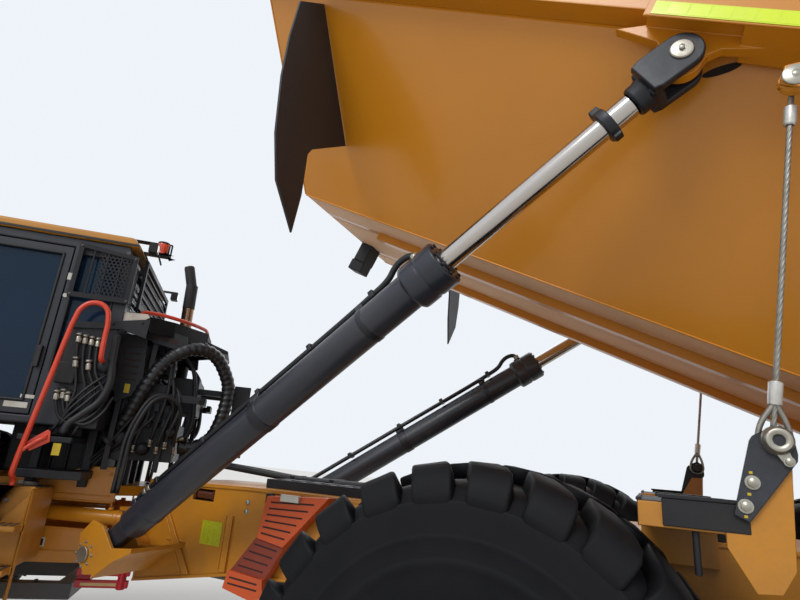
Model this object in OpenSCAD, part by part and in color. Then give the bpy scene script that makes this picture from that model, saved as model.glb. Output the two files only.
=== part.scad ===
// Articulated dump truck, turned at its hitch with the bed half raised.
// Forward is +X, left is +Y, up is +Z. The ground is z = 0 and the origin is the middle of the bounding box's base.
// Inside the modules x = 0 is the first rear axle; the tractor is drawn straight and then turned at the hitch.

/* [Wheels] */
// Outer radius of a tyre at the tips of its lugs
tyre_radius = 937; // [915:1:938]
// Width of a tyre
tyre_width = 750; // [700:1:760]
// Distance from the centreline to the middle of a tyre
track_half = 1318; // [1310:1:1350]
// Radius of the rim under the tyre
rim_radius = 325; // [320:1:335]
// Distance between the two rear axles
bogie_spacing = 1940; // [1910:1:1980]
// Distance from the hitch forward to the front axle
front_axle_u = 2100; // [2080:1:2120]

/* [Hitch] */
// Distance of the steering pivot ahead of the first rear axle
hitch_x = 3200; // [3195:1:3230]
// Angle by which the tractor stands turned to the left
steer_rest = 40; // [36:0.5:42]
// Radius of the steering pivot's pin
hitch_pin_radius = 50; // [46:1:52]

/* [Rear frame] */
// Half of the frame's width
frame_half = 450; // [446:1:452]
// Height of the frame's top
frame_top = 1600; // [1590:1:1605]

/* [Bed] */
// Place of the bed's hinge along the frame
bed_hinge_x = -2300; // [-2310:1:-2290]
// Height of the bed's hinge
bed_hinge_z = 1600; // [1598:1:1604]
// Angle by which the bed stands raised
bed_rest = 25; // [24.8:0.1:25.2]
// Half of the floor's width, which lies between the tyres
floor_half = 700; // [690:1:705]
// Thickness of the bed's walls and floor
bed_wall = 45; // [40:1:50]
// Angle by which the tailgate stands open
gate_rest = 22.5; // [22:0.1:23]

/* [Hoist cylinders] */
// Outer radius of a hoist barrel
barrel_radius = 100; // [96:1:102]
// Radius of a hoist rod
rod_radius = 55; // [50:1:58]
// Length from the base pin to the end of the gland
barrel_length = 3160; // [3140:1:3170]
// Thickness of the lug in a rod's fork
hoist_lug = 50; // [48:1:52]

/* [Cab] */
// Half of the cab's width
cab_half = 820; // [810:1:825]
// Height of the cab's floor
cab_floor_z = 1900; // [1890:1:1905]
// Height of the roof's edge
roof_z = 3330; // [3325:1:3340]
// Thickness of the cab's walls
cab_wall = 60; // [56:1:62]

/* [Hidden] */
$fn = 48;
centre_x = 1403.35;
centre_y = 875.2;
wheel_z = tyre_radius;
// Hoist pins of the left side in the pose as built
base_pin = [2843, 790, 1095];
rod_pin = [-845, 1510, 3564];
hoist_vec = rod_pin - base_pin;
hoist_length = norm(hoist_vec);
hoist_yaw = atan2(hoist_vec[1], hoist_vec[0]);
hoist_tilt = acos(hoist_vec[2] / hoist_length);
rail_z = 3100;
floor_z = 1868;
side_top_y = 1430;
gate_pivot = [-1950, 2970];
// Eye of a tailgate arm with the gate shut, and the same eye in the pose as built
gate_eye = [-549, 3169];
gate_open = gate_pivot + [cos(gate_rest) * (gate_eye[0] - gate_pivot[0]) + sin(gate_rest) * (gate_eye[1] - gate_pivot[1]),
  cos(gate_rest) * (gate_eye[1] - gate_pivot[1]) - sin(gate_rest) * (gate_eye[0] - gate_pivot[0])];
eye_rest = [bed_hinge_x + cos(bed_rest) * (gate_open[0] - bed_hinge_x) - sin(bed_rest) * (gate_open[1] - bed_hinge_z),
  bed_hinge_z + sin(bed_rest) * (gate_open[0] - bed_hinge_x) + cos(bed_rest) * (gate_open[1] - bed_hinge_z)];
frame_plate = 30;

// Placing

module at_origin() translate([-centre_x, -centre_y, 0]) children();

module on_tractor() at_origin() translate([hitch_x, 0, 0]) rotate([0, 0, steer_rest]) children();

// Bed parts are drawn lowered and then raised about the hinge.
module on_bed() at_origin() translate([bed_hinge_x, 0, bed_hinge_z]) rotate([0, -bed_rest, 0])
  translate([-bed_hinge_x, 0, -bed_hinge_z]) children();

module both_sides() { children(); mirror([0, 1, 0]) children(); }

module left_or_right(side) if (side > 0) children(); else mirror([0, 1, 0]) children();

// A plate with its outline in x and z, from y0 to y0 + t.
module plate(points, y0, t) translate([0, y0 + t, 0]) rotate([90, 0, 0]) linear_extrude(t) polygon(points);

// A bar along x with its section in y and z.
module section(points, x0, l) translate([x0, 0, 0]) rotate([90, 0, 90]) linear_extrude(l) polygon(points);

// A flat sheet with its outline in x and y, from z0 to z0 + t.
module sheet(points, z0, t) translate([0, 0, z0]) linear_extrude(t) polygon(points);

module box(x0, x1, y0, y1, z0, z1) translate([x0, y0, z0]) cube([x1 - x0, y1 - y0, z1 - z0]);

module tube(a, b, r) {
  v = b - a;
  translate(a) rotate([0, acos(v[2] / norm(v)), atan2(v[1], v[0])]) cylinder(h = norm(v), r = r);
}

// An eight-sided pipe along points, its lengths overlapping at each bend
module run(points, r) for (i = [0 : len(points) - 2]) {
  a = points[i];
  b = points[i + 1];
  d = (b - a) / norm(b - a) * r * 0.35;
  tube(i > 0 ? a - d : a, i < len(points) - 2 ? b + d : b, r, $fn = 8);
}

module round_y(x, z, y0, y1, r) translate([x, y1, z]) rotate([90, 0, 0]) cylinder(h = y1 - y0, r = r);

module round_z(x, y, z0, z1, r) translate([x, y, z0]) cylinder(h = z1 - z0, r = r);

module round_x(x0, x1, y, z, r) translate([x0, y, z]) rotate([0, 90, 0]) cylinder(h = x1 - x0, r = r);

// Rear frame

// Side outline of the frame: x, z
frame_side = [[2885, 1575], [2870, 880], [1980, 1040], [600, 1130], [380, 1262], [-400, 1262], [-620, 1010],
  [-1320, 1010], [-1540, 1262], [-2380, 1262], [-2500, 1060], [-2560, 1060], [-2560, 1500], [-2420, 1600],
  [-2415, 1710], [-2185, 1710], [-2150, 1600], [1900, 1600]];
frame_inside = [[2840, 1540], [2835, 940], [1980, 1090], [620, 1180], [400, 1300], [-1500, 1300], [-2100, 1300],
  [-2100, 1555], [1900, 1555]];

module frame_plates() {
  plate(frame_side, frame_half - frame_plate, frame_plate);
  mirror([0, 1, 0]) plate(frame_side, frame_half - frame_plate, frame_plate);
  difference() {
    plate([for (p = frame_side) if (p[1] < 1650) p], -frame_half + 10, 2 * frame_half - 20);
    plate(frame_inside, -frame_half + frame_plate - 1, 2 * (frame_half - frame_plate) + 2);
    box(-2700, -2100, -frame_half + 60, frame_half - 60, 1380, 1800);
  }
}

// Base bracket of a hoist cylinder, left side
hoist_plate = [[2925, 1215], [2830, 1310], [2724, 1282], [2600, 1160], [2420, 1180], [2560, 1110], [2730, 985],
  [2800, 975], [2900, 1060]];
hoist_web = [[2420, 1180], [2560, 1110], [2730, 985], [2730, 960], [2560, 1085], [2420, 1150]];

module hoist_base() {
  plate(hoist_plate, 890, 25);
  plate(hoist_plate, 670, 28);
  plate(hoist_web, frame_half + 0.3, 464.7);
  round_y(base_pin[0], base_pin[2], frame_half + 0.3, 675, 95);
  round_y(base_pin[0], base_pin[2], 690, base_pin[1] - 62.3, 38);
  round_y(base_pin[0], base_pin[2], base_pin[1] + 62.3, 930, 38);
}

module rear_frame() color("goldenrod") at_origin() {
  difference() {
    union() {
      frame_plates();
      both_sides() {
        // Stiffening rib on the frame's side
        plate([[2080, 1400], [2020, 1400], [2020, 1040], [2080, 1040]], frame_half - 1, 14);
      }
      // Neck and eye of the hitch
      sheet([[2860, -420], [2860, 420], [2960, 300], [3130, 120], [3130, -120], [2960, -300]], 1045, 360);
      round_z(hitch_x, 0, 1045, 1405, 122);
      // Rear tow hitch
      box(-2680, -2540, -110, 110, 1090, 1130);
      box(-2680, -2540, -110, 110, 1210, 1250);
      box(-2580, -2540, -200, 200, 1070, 1270);
      // Rear cross member
      box(-2590, -2550, -640, 640, 1290, 1420);
    }
    round_z(hitch_x, 0, 1000, 1500, hitch_pin_radius + 0.4);
    round_z(-2630, 0, 1000, 1300, 25);
    // Bogie pivot
    round_y(-970, 1130, -900, 900, 90);
    // Tunnel of the propshaft
    box(1300, 2990, -90, 90, 800, 1030);
    // Lamp recesses near the top edge
    both_sides() box(2230, 2430, frame_half - 60, frame_half + 40, 1470, 1550);
  }
  // Bed hinge pin
  round_y(bed_hinge_x, bed_hinge_z, -560, 560, 55);
}

// Brackets on the frame's sides: hoist bases, lugs of the steering cylinders, and outriggers of the tailgate ropes
module frame_brackets() color("goldenrod") at_origin() both_sides() {
  hoist_base();
  plate([[2680, 1400], [2640, 1400], [2330, 985], [2400, 975]], frame_half + 0.3, 13);
  for (z = [1203, 1346]) box(2820, 2950, frame_half + 0.3, 620, z, z + 27);
  round_z(2890, 560, 1204, 1372, 26);
  box(-920, -590, frame_half + 0.3, 500, 1480, 1785);
  box(-920, -590, 490, 1540, 1705, 1785);
  // Cut plate on the outrigger's end
  plate([[-876, 1765], [-846, 1724], [-845, 1667], [-914, 1544], [-981, 1551], [-1023, 1621], [-1041, 1876],
    [-1045, 1925], [-965, 1925]], 1527.7, 20);
}

module frame_trays() color("dimgray") at_origin() {
  // Hose tray and cover plates on the frame's top
  box(1000, 1880, -150, 60, frame_top + 0.3, frame_top + 42);
  box(1100, 1880, 120, 330, frame_top + 0.3, frame_top + 62);
  // Rest pads for the bed
  both_sides() {
    box(-980, -670, 300, 440, frame_top + 0.3, 1800);
    box(300, 600, 300, 440, frame_top + 0.3, 1800);
  }
  // Cross tray between the pads
  box(-930, -720, -280, 280, frame_top + 0.3, frame_top + 90);
  // Hoses from the frame to the hitch
  for (y = [-110, -45, 20]) run([[1000, y, frame_top + 63], [1900, y, frame_top + 63], [2780, y, 1720]], 22);
}

// Upper plate of a rope anchor: x, z
anchor_plate = [[-870, 1768], [-934, 2001], [-944, 2017], [-993, 2043], [-1021, 2052], [-1053, 2032], [-1060, 1963],
  [-1057, 1942], [-912, 1749]];

module rope_anchors() color("black") at_origin() both_sides() {
  plate(anchor_plate, 1548, 22);
  round_y(-1008, 2003, 1569, 1600, 38);
  round_y(-1008, 2003, 1500, 1549, 30);
}

module wheel_chock() color("orangered") at_origin() {
  // Folded panel of three leaves, hung on the frame's side
  plate([[1686, 1565], [1210, 1595], [1512, 1270], [1725, 1302]], frame_half + 13.3, 95);
  plate([[1735, 1313], [1502, 1281], [1637, 1058], [1918, 1076]], frame_half + 13.3, 75);
  plate([[1911, 1086], [1631, 1068], [1611, 964], [1700, 935], [1937, 976]], frame_half + 13.3, 100);
}

module frame_reflectors() color("yellow") at_origin() {
  both_sides() box(2110, 2290, frame_half + 0.3, frame_half + 4, 1190, 1345);
  both_sides() box(-2594, -2590.3, 420, 620, 1310, 1400);
}

// Outline of a bogie beam: x, z
bogie_beam = [[230, 840], [230, 1040], [120, 1120], [-600, 1200], [-1340, 1200], [-2060, 1120], [-2170, 1040],
  [-2170, 840], [-2060, 790], [-1400, 900], [-540, 900], [120, 790]];

module bogie_beams() color("dimgray") at_origin() {
  both_sides() difference() {
    plate(bogie_beam, 560, 120);
    for (x = [0, -bogie_spacing]) round_y(x, wheel_z, 500, 800, 130.3);
  }
  round_y(-970, 1130, -760, 760, 89.7);
}

module axle(x, ball) {
  round_y(x, wheel_z, -track_half - 19.7, track_half + 19.7, 130);
  both_sides() round_y(x, wheel_z, track_half - 300, track_half - 240, 190);
  translate([x, 0, wheel_z]) sphere(r = ball);
  round_x(x - ball - 60, x + ball + 60, 0, wheel_z, 110);
}

module rear_axles() color("dimgray") at_origin() for (x = [0, -bogie_spacing]) axle(x, 250);

module propshafts() color("gray") at_origin() {
  round_x(-bogie_spacing + 310.3, -310.3, 0, wheel_z, 60);
  round_x(310.3, 2960, 0, wheel_z, 60);
}

// Hoist cylinders

// A frame at the base pin with +Z along the cylinder.
module along_hoist(side) at_origin() left_or_right(side) translate(base_pin) rotate([0, hoist_tilt, hoist_yaw]) children();

module hoist_barrel(side) color("slategray") along_hoist(side) difference() {
  union() {
    translate([0, 0, 400]) cylinder(h = barrel_length - 400, r = barrel_radius);
    translate([0, 0, barrel_length - 230]) cylinder(h = 230, r = barrel_radius + 26);
    // Base eye and neck
    rotate([0, 0, -hoist_yaw]) rotate([90, 0, 0]) cylinder(h = 100, r = 82, center = true);
    translate([0, 0, 55]) cylinder(h = 360, r = 50);
    // Pressure pipe above the barrel
    rotate([0, 0, 180]) run([[115, 0, 470], [140, 0, 530], [140, 0, 2800], [190, 0, 2920], [115, 0, 3010]], 19);
    rotate([0, 0, 180]) translate([60, -30, 445]) cube([80, 60, 50]);
    rotate([0, 0, 180]) translate([60, -30, 1500]) cube([90, 60, 60]);
  }
  translate([0, 0, 424]) cylinder(h = barrel_length, r = barrel_radius - 22);
  sphere(r = 62.3);
}

module hoist_ball(side) color("silver") along_hoist(side) sphere(r = 62);

module hoist_rod(side) color("lightsteelblue") at_origin() left_or_right(side) difference() {
  union() {
    translate(base_pin) rotate([0, hoist_tilt, hoist_yaw]) {
      translate([0, 0, hoist_length - 3040]) cylinder(h = 80, r = barrel_radius - 22.3);
      translate([0, 0, hoist_length - 3000]) cylinder(h = 2830, r = rod_radius);
      translate([0, 0, hoist_length - 250]) cylinder(h = 90, r = 85);
    }
    // Fork with its pin's heads
    intersection() {
      translate(base_pin) rotate([0, hoist_tilt, hoist_yaw]) rotate([0, 0, -hoist_yaw])
        translate([-88, -160, hoist_length - 190]) cube([176, 320, 190]);
      box(-3000, 3000, rod_pin[1] - 88, rod_pin[1] + 88, 1000, 6000);
    }
    round_y(rod_pin[0], rod_pin[2], rod_pin[1] - 88, rod_pin[1] + 88, 88);
    round_y(rod_pin[0], rod_pin[2], rod_pin[1] - 103, rod_pin[1] + 103, 50);
  }
  intersection() {
    translate(base_pin) rotate([0, hoist_tilt, hoist_yaw]) rotate([0, 0, -hoist_yaw])
      translate([-260, -200, hoist_length - 120]) cube([520, 400, 400]);
    box(-3000, 3000, rod_pin[1] - hoist_lug / 2 - 24, rod_pin[1] + hoist_lug / 2 + 24, 1000, 6000);
  }
}

module hoist_barrel_left() hoist_barrel(1);
module hoist_barrel_right() hoist_barrel(-1);
module hoist_ball_left() hoist_ball(1);
module hoist_ball_right() hoist_ball(-1);
module hoist_rod_left() hoist_rod(1);
module hoist_rod_right() hoist_rod(-1);

// Steering cylinders, from the rear frame's lugs to the tractor

steer_z = 1288;
steer_from = [2890, 560];
function turned(p) = [hitch_x + p[0] * cos(steer_rest) - p[1] * sin(steer_rest),
  p[0] * sin(steer_rest) + p[1] * cos(steer_rest)];

module along_steer(side) {
  a = [steer_from[0], side * steer_from[1]];
  b = turned([1250, side * 250]);
  at_origin() translate([a[0], a[1], steer_z]) rotate([0, 0, atan2(b[1] - a[1], b[0] - a[0])]) children();
}

module steer_barrel(side) color("gray") along_steer(side) difference() {
  union() {
    round_x(50, 1060, 0, 0, 50);
    cylinder(h = 80, r = 56, center = true);
  }
  round_x(95, 1100, 0, 0, 38);
  cylinder(h = 120, r = 26.4, center = true);
}

module steer_rod(side) color("silver") {
  l = norm(turned([1250, side * 250]) - [steer_from[0], side * steer_from[1]]);
  along_steer(side) {
    round_x(l - 1044, l - 40, 0, 0, 26);
    round_x(l - 1044, l - 994, 0, 0, 37.7);
    translate([l, 0, -35]) cylinder(h = 70, r = 55);
  }
}

module steer_barrel_left() steer_barrel(1);
module steer_barrel_right() steer_barrel(-1);
module steer_rod_left() steer_rod(1);
module steer_rod_right() steer_rod(-1);

// Bed

// Side outline, lowered: x, z
bed_out = [[2156, floor_z], [2735, 3060], [2735, rail_z], [-3000, rail_z], [-3150, 2900], [-3480, 2420], [-1900, floor_z]];
bed_in = [[2110, floor_z + bed_wall], [2740, 3230], [-3800, 3230], [-3800, 2560], [-3480, 2420 + bed_wall + 4],
  [-1905, floor_z + bed_wall]];
// Half section: y, z
function flare(z) = floor_half + (z - floor_z) * (side_top_y - floor_half) / (2970 - floor_z);
bed_half_out = [[0, floor_z - 200], [flare(floor_z - 200), floor_z - 200], [side_top_y, 2970], [side_top_y, rail_z + 50],
  [0, rail_z + 50]];
bed_half_in = [[0, floor_z - 200], [flare(floor_z - 200) - bed_wall * 1.2, floor_z - 200], [side_top_y - bed_wall * 1.2, 2970],
  [side_top_y - bed_wall * 1.2, 3400], [0, 3400]];

module mirrored(points) union() { polygon(points); mirror([1, 0]) polygon(points); }

module prism(points, x0, l) translate([x0, 0, 0]) rotate([90, 0, 90]) linear_extrude(l) mirrored(points);

module bed_shell() color("goldenrod") on_bed() difference() {
  union() {
    difference() {
      intersection() {
        prism(bed_half_out, -4000, 7000);
        plate(bed_out, -1600, 3200);
      }
      intersection() {
        prism(bed_half_in, -4000, 7000);
        plate(bed_in, -1600, 3200);
      }
    }
    // Hinge lugs
    both_sides() {
      plate([[-2420, 2080], [-2180, 1900], [-2180, 1600], [-2420, 1600]], 465, 60);
      round_y(bed_hinge_x, bed_hinge_z, 465, 525, 120);
    }
    // Runners over the rest pads
    both_sides() box(-1600, 1600, 330, 410, 1812, floor_z + 5);
  }
  both_sides() round_y(bed_hinge_x, bed_hinge_z, 400, 600, 55.4);
}

// Lug of a hoist rod, lowered, from its pin
pin_r = norm([rod_pin[0] - bed_hinge_x, rod_pin[2] - bed_hinge_z]);
pin_a = atan2(rod_pin[2] - bed_hinge_z, rod_pin[0] - bed_hinge_x) - bed_rest;
pin_low = [bed_hinge_x + pin_r * cos(pin_a), bed_hinge_z + pin_r * sin(pin_a)];

module bed_rails() color("goldenrod") on_bed() both_sides() {
  // Top rail, wider over the rear half
  box(50, 2735, side_top_y + 0.3, 1545, 2985, rail_z);
  difference() {
    section([[side_top_y + 0.3, 2865], [1650, 2865], [1650, rail_z], [side_top_y + 0.3, rail_z]], -2950, 3000);
    box(pin_low[0] - 190, pin_low[0] + 260, 1400, 1640, 2800, 2908);
  }
  // Hoist lug, reaching up into the rail
  plate([[pin_low[0] - 400, 2880], [pin_low[0] - 130, pin_low[1] + 75], [pin_low[0] - 92, pin_low[1] + 40],
    [pin_low[0] - 82, pin_low[1] - 10], [pin_low[0] + 82, pin_low[1] - 10], [pin_low[0] + 92, pin_low[1] + 40],
    [pin_low[0] + 130, pin_low[1] + 75], [pin_low[0] + 330, 2880], [pin_low[0] + 200, 2920], [pin_low[0] - 200, 2920]],
    rod_pin[1] - hoist_lug / 2, hoist_lug);
  round_y(pin_low[0], pin_low[1], rod_pin[1] - hoist_lug / 2, rod_pin[1] + hoist_lug / 2, 84);
  // Pivot boss of the tailgate
  round_y(gate_pivot[0], gate_pivot[1], 1649, 1674, 90);
  round_y(gate_pivot[0], gate_pivot[1], 1649, 1740, 40);
}

module rail_tape() color("yellow") on_bed() both_sides() {
  box(-2900, gate_pivot[0] - 95, 1650.3, 1653, 2875, 2940);
  box(gate_pivot[0] + 95, 20, 1650.3, 1653, 2875, 2940);
}

// Rubber flap ahead of the rear wheels, hanging down from the bed's side: y, z in the raised pose
flap = [[1415, 4690], [1640, 4490], [1680, 4190], [1690, 3900], [1660, 3540], [1590, 3280], [1390, 3050], [1350, 3310],
  [1350, 3590], [1310, 3650], [950, 3905], [1125, 4200]];

module bed_flaps() color("black") at_origin() translate([bed_hinge_x, 0, bed_hinge_z]) rotate([0, 25 - bed_rest, 0])
  translate([-bed_hinge_x, 0, -bed_hinge_z]) both_sides() section(flap, 1160, 14);

module bed_brackets() color("dimgray") on_bed() {
  // Rubber stop under the floor's front
  box(2010, 2130, -340, -180, 1700, floor_z - 0.3);
  box(2010, 2150, -330, -190, 1606, 1701);
  // Clamp on the headboard's lower corner
  both_sides() plate([[2215.7, 1990], [2278.8, 2120], [2400, 2120], [2400, 1990]], 640, 80);
}

// Side outline of a tailgate arm and of the panel, shut: x, z
gate_arm = [[-505, 3155], [-520, 3215], [-600, 3225], [-1850, 3090], [-2050, 3090], [-3020, 3190], [-3230, 3190],
  [-3230, 3110], [-2060, 2860], [-1840, 2860], [-560, 3115]];
gate_panel = [[-3085, 3190], [-3050, 3060], [-3541, 2360], [-3620, 2360], [-3640, 2480], [-3190, 3120], [-3230, 3190]];
gate_panel_half = [[0, 2300], [1060, 2300], [1475, 3070], [1722, 3070], [1722, 3300], [0, 3300]];

module tailgate() color("goldenrod") on_bed() translate([gate_pivot[0], 0, gate_pivot[1]]) rotate([0, gate_rest, 0])
  translate([-gate_pivot[0], 0, -gate_pivot[1]]) difference() {
    union() {
      both_sides() {
        plate(gate_arm, 1682, 40);
        round_y(gate_eye[0], gate_eye[1], 1660, 1690, 45);
      }
      intersection() {
        prism(gate_panel_half, -4000, 2000);
        plate(gate_panel, -1800, 3600);
      }
    }
    both_sides() round_y(gate_pivot[0], gate_pivot[1], 1600, 1800, 40.4);
  }

module gate_ropes() color("gray") at_origin() both_sides()
  tube([-1010, 1530, 2045], [eye_rest[0], 1648.6, eye_rest[1] - 20], 11);

// Tractor frame and front axle, drawn straight: u forward of the hitch, v to the left

tractor_side = [[290, 1640], [540, 1630], [790, 1530], [1500, 1500], [3700, 1400], [3700, 1000], [2520, 1000],
  [2430, 1290], [1770, 1290], [1640, 950], [290, 950]];

module yoke_arm(z0, z1) {
  union() {
    round_z(0, 0, z0, z1, 210);
    sheet([[0, -210], [0, 210], [330, 425], [1000, 425], [1000, -425], [330, -425]], z0, z1 - z0);
  }
}

module tractor_frame() color("goldenrod") on_tractor() {
  both_sides() difference() {
    plate(tractor_side, 420, 40);
    plate([[280, 1200], [280, 1376], [860, 1390], [1010, 1376], [1010, 1200], [420, 1180]], 400, 80);
  }
  yoke_arm(1425, 1500);
  yoke_arm(955, 1030);
  round_z(0, 0, 940, 1550, hitch_pin_radius);
  // Cross members
  box(1500, 1600, -425, 425, 1010, 1480);
  box(2560, 2660, -425, 425, 1020, 1420);
  box(3600, 3700, -425, 425, 1020, 1380);
  // Lugs for the steering rods
  both_sides() for (z = [1212, 1346]) box(1150, 1505, 150, 340, z, z + 18);
}

module articulation_lock() color("red") on_tractor() {
  box(60, 420, 475, 515, 880, 930);
  box(60, 420, 475, 515, 800, 850);
  round_z(110, 495, 790, 940, 30);
  box(330, 420, 440, 480, 800, 949.7);
}

module front_axle() color("dimgray") on_tractor() {
  axle(front_axle_u, 240);
  // Carrying frame from the axle back to the hitch
  both_sides() sheet([[front_axle_u - 60, 300], [front_axle_u - 60, 420], [1400, 430], [450, 430], [450, 340],
    [1300, 330]], 700, 110);
  box(450, 560, -345, 345, 700, 810);
  // Suspension struts
  both_sides() round_z(front_axle_u, 440, wheel_z, 1289.7, 45);
  both_sides() box(front_axle_u - 90, front_axle_u + 90, 320, 430, 700, wheel_z);
  round_x(1250, front_axle_u - 290, 0, wheel_z, 60);
}

// Cab

cab_out = [[450, cab_floor_z], [450, 3180], [520, roof_z], [2020, roof_z], [2180, 2500], [2180, cab_floor_z]];
cab_in = [[510, cab_floor_z + 60], [510, 3180], [550, roof_z - 50], [1975, roof_z - 50], [2120, 2500],
  [2120, cab_floor_z + 60]];
door_out = [[905, 1965], [905, 3250], [1930, 3250], [1985, 2900], [1985, 1965]];

module cab_shell() color("dimgray") on_tractor() {
  cab_walls();
  for (z = [2150, 2700]) {
    box(door_axis[0], 2030, cab_half - 1, cab_half + 19, z, z + 20);
    round_z(door_axis[0], door_axis[1], z, z + 20, 11);
  }
}

module cab_walls() difference() {
  plate(cab_out, -cab_half, 2 * cab_half);
  plate(cab_in, -cab_half + cab_wall, 2 * (cab_half - cab_wall));
  // Left doorway
  plate([[900, 1960], [900, 3255], [1934, 3255], [1990, 2900], [1990, 1960]], cab_half - 100, 200);
  // Right side window
  plate([[960, 2250], [960, 3220], [1900, 3220], [1950, 2900], [1950, 2250]], -cab_half - 100, 200);
  // Quarter windows
  both_sides() plate([[560, 2300], [560, 3200], [840, 3200], [840, 2300]], cab_half - 100, 200);
  // Rear window and windscreen
  box(400, 530, -650, 650, 2300, 3150);
  box(2090, 2300, -700, 700, 2200, 2520);
  plate([[2400, 2480], [2165, 2480], [2040, 3230], [1900, 3230], [2060, 2480]], -700, 1400);
}

module cab_roof() color("goldenrod") on_tractor() {
  plate([[430, roof_z + 0.3], [500, 3410], [2130, 3410], [2130, roof_z + 0.3]], -cab_half - 20, 2 * cab_half + 40);
}

module cab_glass() color("lightblue", 0.5) on_tractor() {
  box(475, 483, -649.7, 649.7, 2300.3, 3149.7);
  both_sides() plate([[560.3, 2300.3], [560.3, 3199.7], [839.7, 3199.7], [839.7, 2300.3]], cab_half - 34, 8);
  plate([[960.3, 2250.3], [960.3, 3219.7], [1899.7, 3219.7], [1949.7, 2900], [1949.7, 2250.3]], -cab_half + 26, 8);
  box(2145, 2153, -699.7, 699.7, 2200.3, 2500);
  plate([[2150, 2500], [2022, 3229.7], [2014, 3229.7], [2142, 2500]], -699.7, 1399.4);
}

module cab_seat() color("black") on_tractor() {
  box(1000, 1450, -250, 250, 2270, 2400);
  box(900, 1010, -240, 240, 2400, 3050);
  box(1100, 1350, -150, 150, cab_floor_z + 60.3, 2271);
  box(1850, 2060, -450, 450, cab_floor_z + 60.3, 2480);
  tube([1860, 0, 2470], [1700, 0, 2640], 30);
  translate([1690, 0, 2650]) rotate([0, -43, 0]) cylinder(h = 25, r = 210);
}

// Vertical axis of the door's hinges: u, v
door_axis = [1986, cab_half + 12];

module cab_door() color("dimgray") on_tractor() {
  difference() {
    plate(door_out, cab_half - 52, 46);
    plate([[965, 2060], [965, 3190], [1880, 3190], [1925, 2900], [1925, 2060]], cab_half - 100, 150);
  }
  for (z = [2150, 2700]) {
    box(1935, door_axis[0], cab_half - 7, cab_half + 19, z + 20.3, z + 40);
    round_z(door_axis[0], door_axis[1], z + 20.3, z + 40, 11);
  }
}

module door_glass() color("lightblue", 0.5) on_tractor()
  plate([[965.3, 2060.3], [965.3, 3189.7], [1879.7, 3189.7], [1924.7, 2900], [1924.7, 2060.3]], cab_half - 33, 8);

module window_guards() color("black") on_tractor() {
  difference() {
    box(395, 420, -640, 640, 2880, 3290);
    box(380, 440, -600, 600, 2920, 3250);
  }
  for (z = [2990, 3060, 3130, 3200]) box(400, 415, -610, 610, z, z + 12);
  both_sides() box(418, 449.7, 600, 640, 3160, 3220);
  both_sides() difference() {
    plate([[430, 2850], [430, 3240], [860, 3290], [860, 2850]], cab_half + 22, 18);
    plate([[465, 2890], [465, 3210], [825, 3250], [825, 2890]], cab_half, 80);
  }
  both_sides() for (u = [540, 640, 740]) box(u, u + 12, cab_half + 26, cab_half + 36, 2880, 3240);
  both_sides() box(470, 500, cab_half + 0.3, cab_half + 24, 2855, 2885);
  both_sides() box(845, 860, cab_half + 0.3, cab_half + 24, 2855, 2885);
}

module lamps() color("white") on_tractor() {
  both_sides() {
    for (z = [1530, 1670]) round_x(3980.3, 4030, 780, z, 60);
    round_x(2130.3, 2200, 620, 3371, 38);
    // Work lamps hung from the roof's rear edge
    box(330, 620, 700, 780, 3410.3, 3417);
    box(330, 395, 695, 785, 3330, 3411);
  }
  // Beacon
  box(300, 620, 400, 500, 3410.3, 3417);
  round_z(350, 450, 3416, 3540, 50);
}

module exhaust_stack() color("gray") on_tractor() {
  tube([95, 0, 2780.3], [95, 0, 2900], 62);
  tube([95, 0, 2890], [110, 0, 3300], 52);
  tube([110, 0, 3295], [170, 0, 3500], 45);
}

module handrails() color("orangered") on_tractor() {
  run([[340, 715, 2780.3], [340, 715, 2840], [80, 580, 2840], [-120, 310, 2840], [-120, -310, 2840], [80, -580, 2840],
    [340, -715, 2840], [340, -715, 2780.3]], 16);
  both_sides() side_rails();
}

module side_rails() {
  run([[860, 880, 1480.3], [860, 880, 1520], [860, 950, 1580], [740, 950, 2640], [690, 950, 2780], [600, 950, 2800],
    [520, 950, 2740], [500, 950, 2390], [500, cab_half + 0.3, 2390]], 19);
  run([[842, 950, 1720], [720, 950, 1815], [720, 925.3, 1815]], 14);
}

module rear_machinery() color("dimgray") on_tractor() {
  // Deck behind the cab
  sheet([[390, -780], [390, 780], [100, 620], [-150, 330], [-150, -330], [100, -620]], 2740, 40);
  plate([[-100, 2700], [-100, 2760], [-340, 2680], [-340, 2650]], -290, 580);
  // Valve blocks and gearbox
  box(-60, 380, -500, 500, 1700, 2001);
  box(60, 380, -540, 540, 2000, 2301);
  box(150, 380, -420, 420, 2300, 2741);
  box(-150, 61, -300, 300, 2100, 2400);
  for (v = [-300, 0, 300]) box(250, 289, v - 30, v + 30, 1500.3, 1701);
  round_y(330, 1780, 490, 544, 90);
  // Platform beside the cab with its perforated edge
  both_sides() {
    box(560, 900, 460.3, 925, 1790, 1830);
    box(480, 900, 460.3, 780, 1540, 1600);
    box(500, 561, 460.3, 520, 1480, 1899.7);
    box(839, 900, 505, 565, 1480.3, 1899.7);
    box(2000, 2100, 505, 600, 1700, 1899.7);
    box(2000, 2100, 460.3, 600, 1400, 1701);
  }
}

// A band of half width w along points of x and z, from y0 to y0 + t
function side_of(a, b) = [a[1] - b[1], b[0] - a[0]] / norm(b - a);
function mitre(p, i) = let(m = side_of(p[max(i - 1, 0)], p[max(i, 1)]),
  n = side_of(p[min(i, len(p) - 2)], p[min(i + 1, len(p) - 1)])) (m + n) / (1 + m * n);
module band(p, w, y0, t)
  plate(concat([for (i = [0 : len(p) - 1]) p[i] + w * mitre(p, i)],
    [for (i = [len(p) - 1 : -1 : 0]) p[i] - w * mitre(p, i)]), y0, t);

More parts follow.
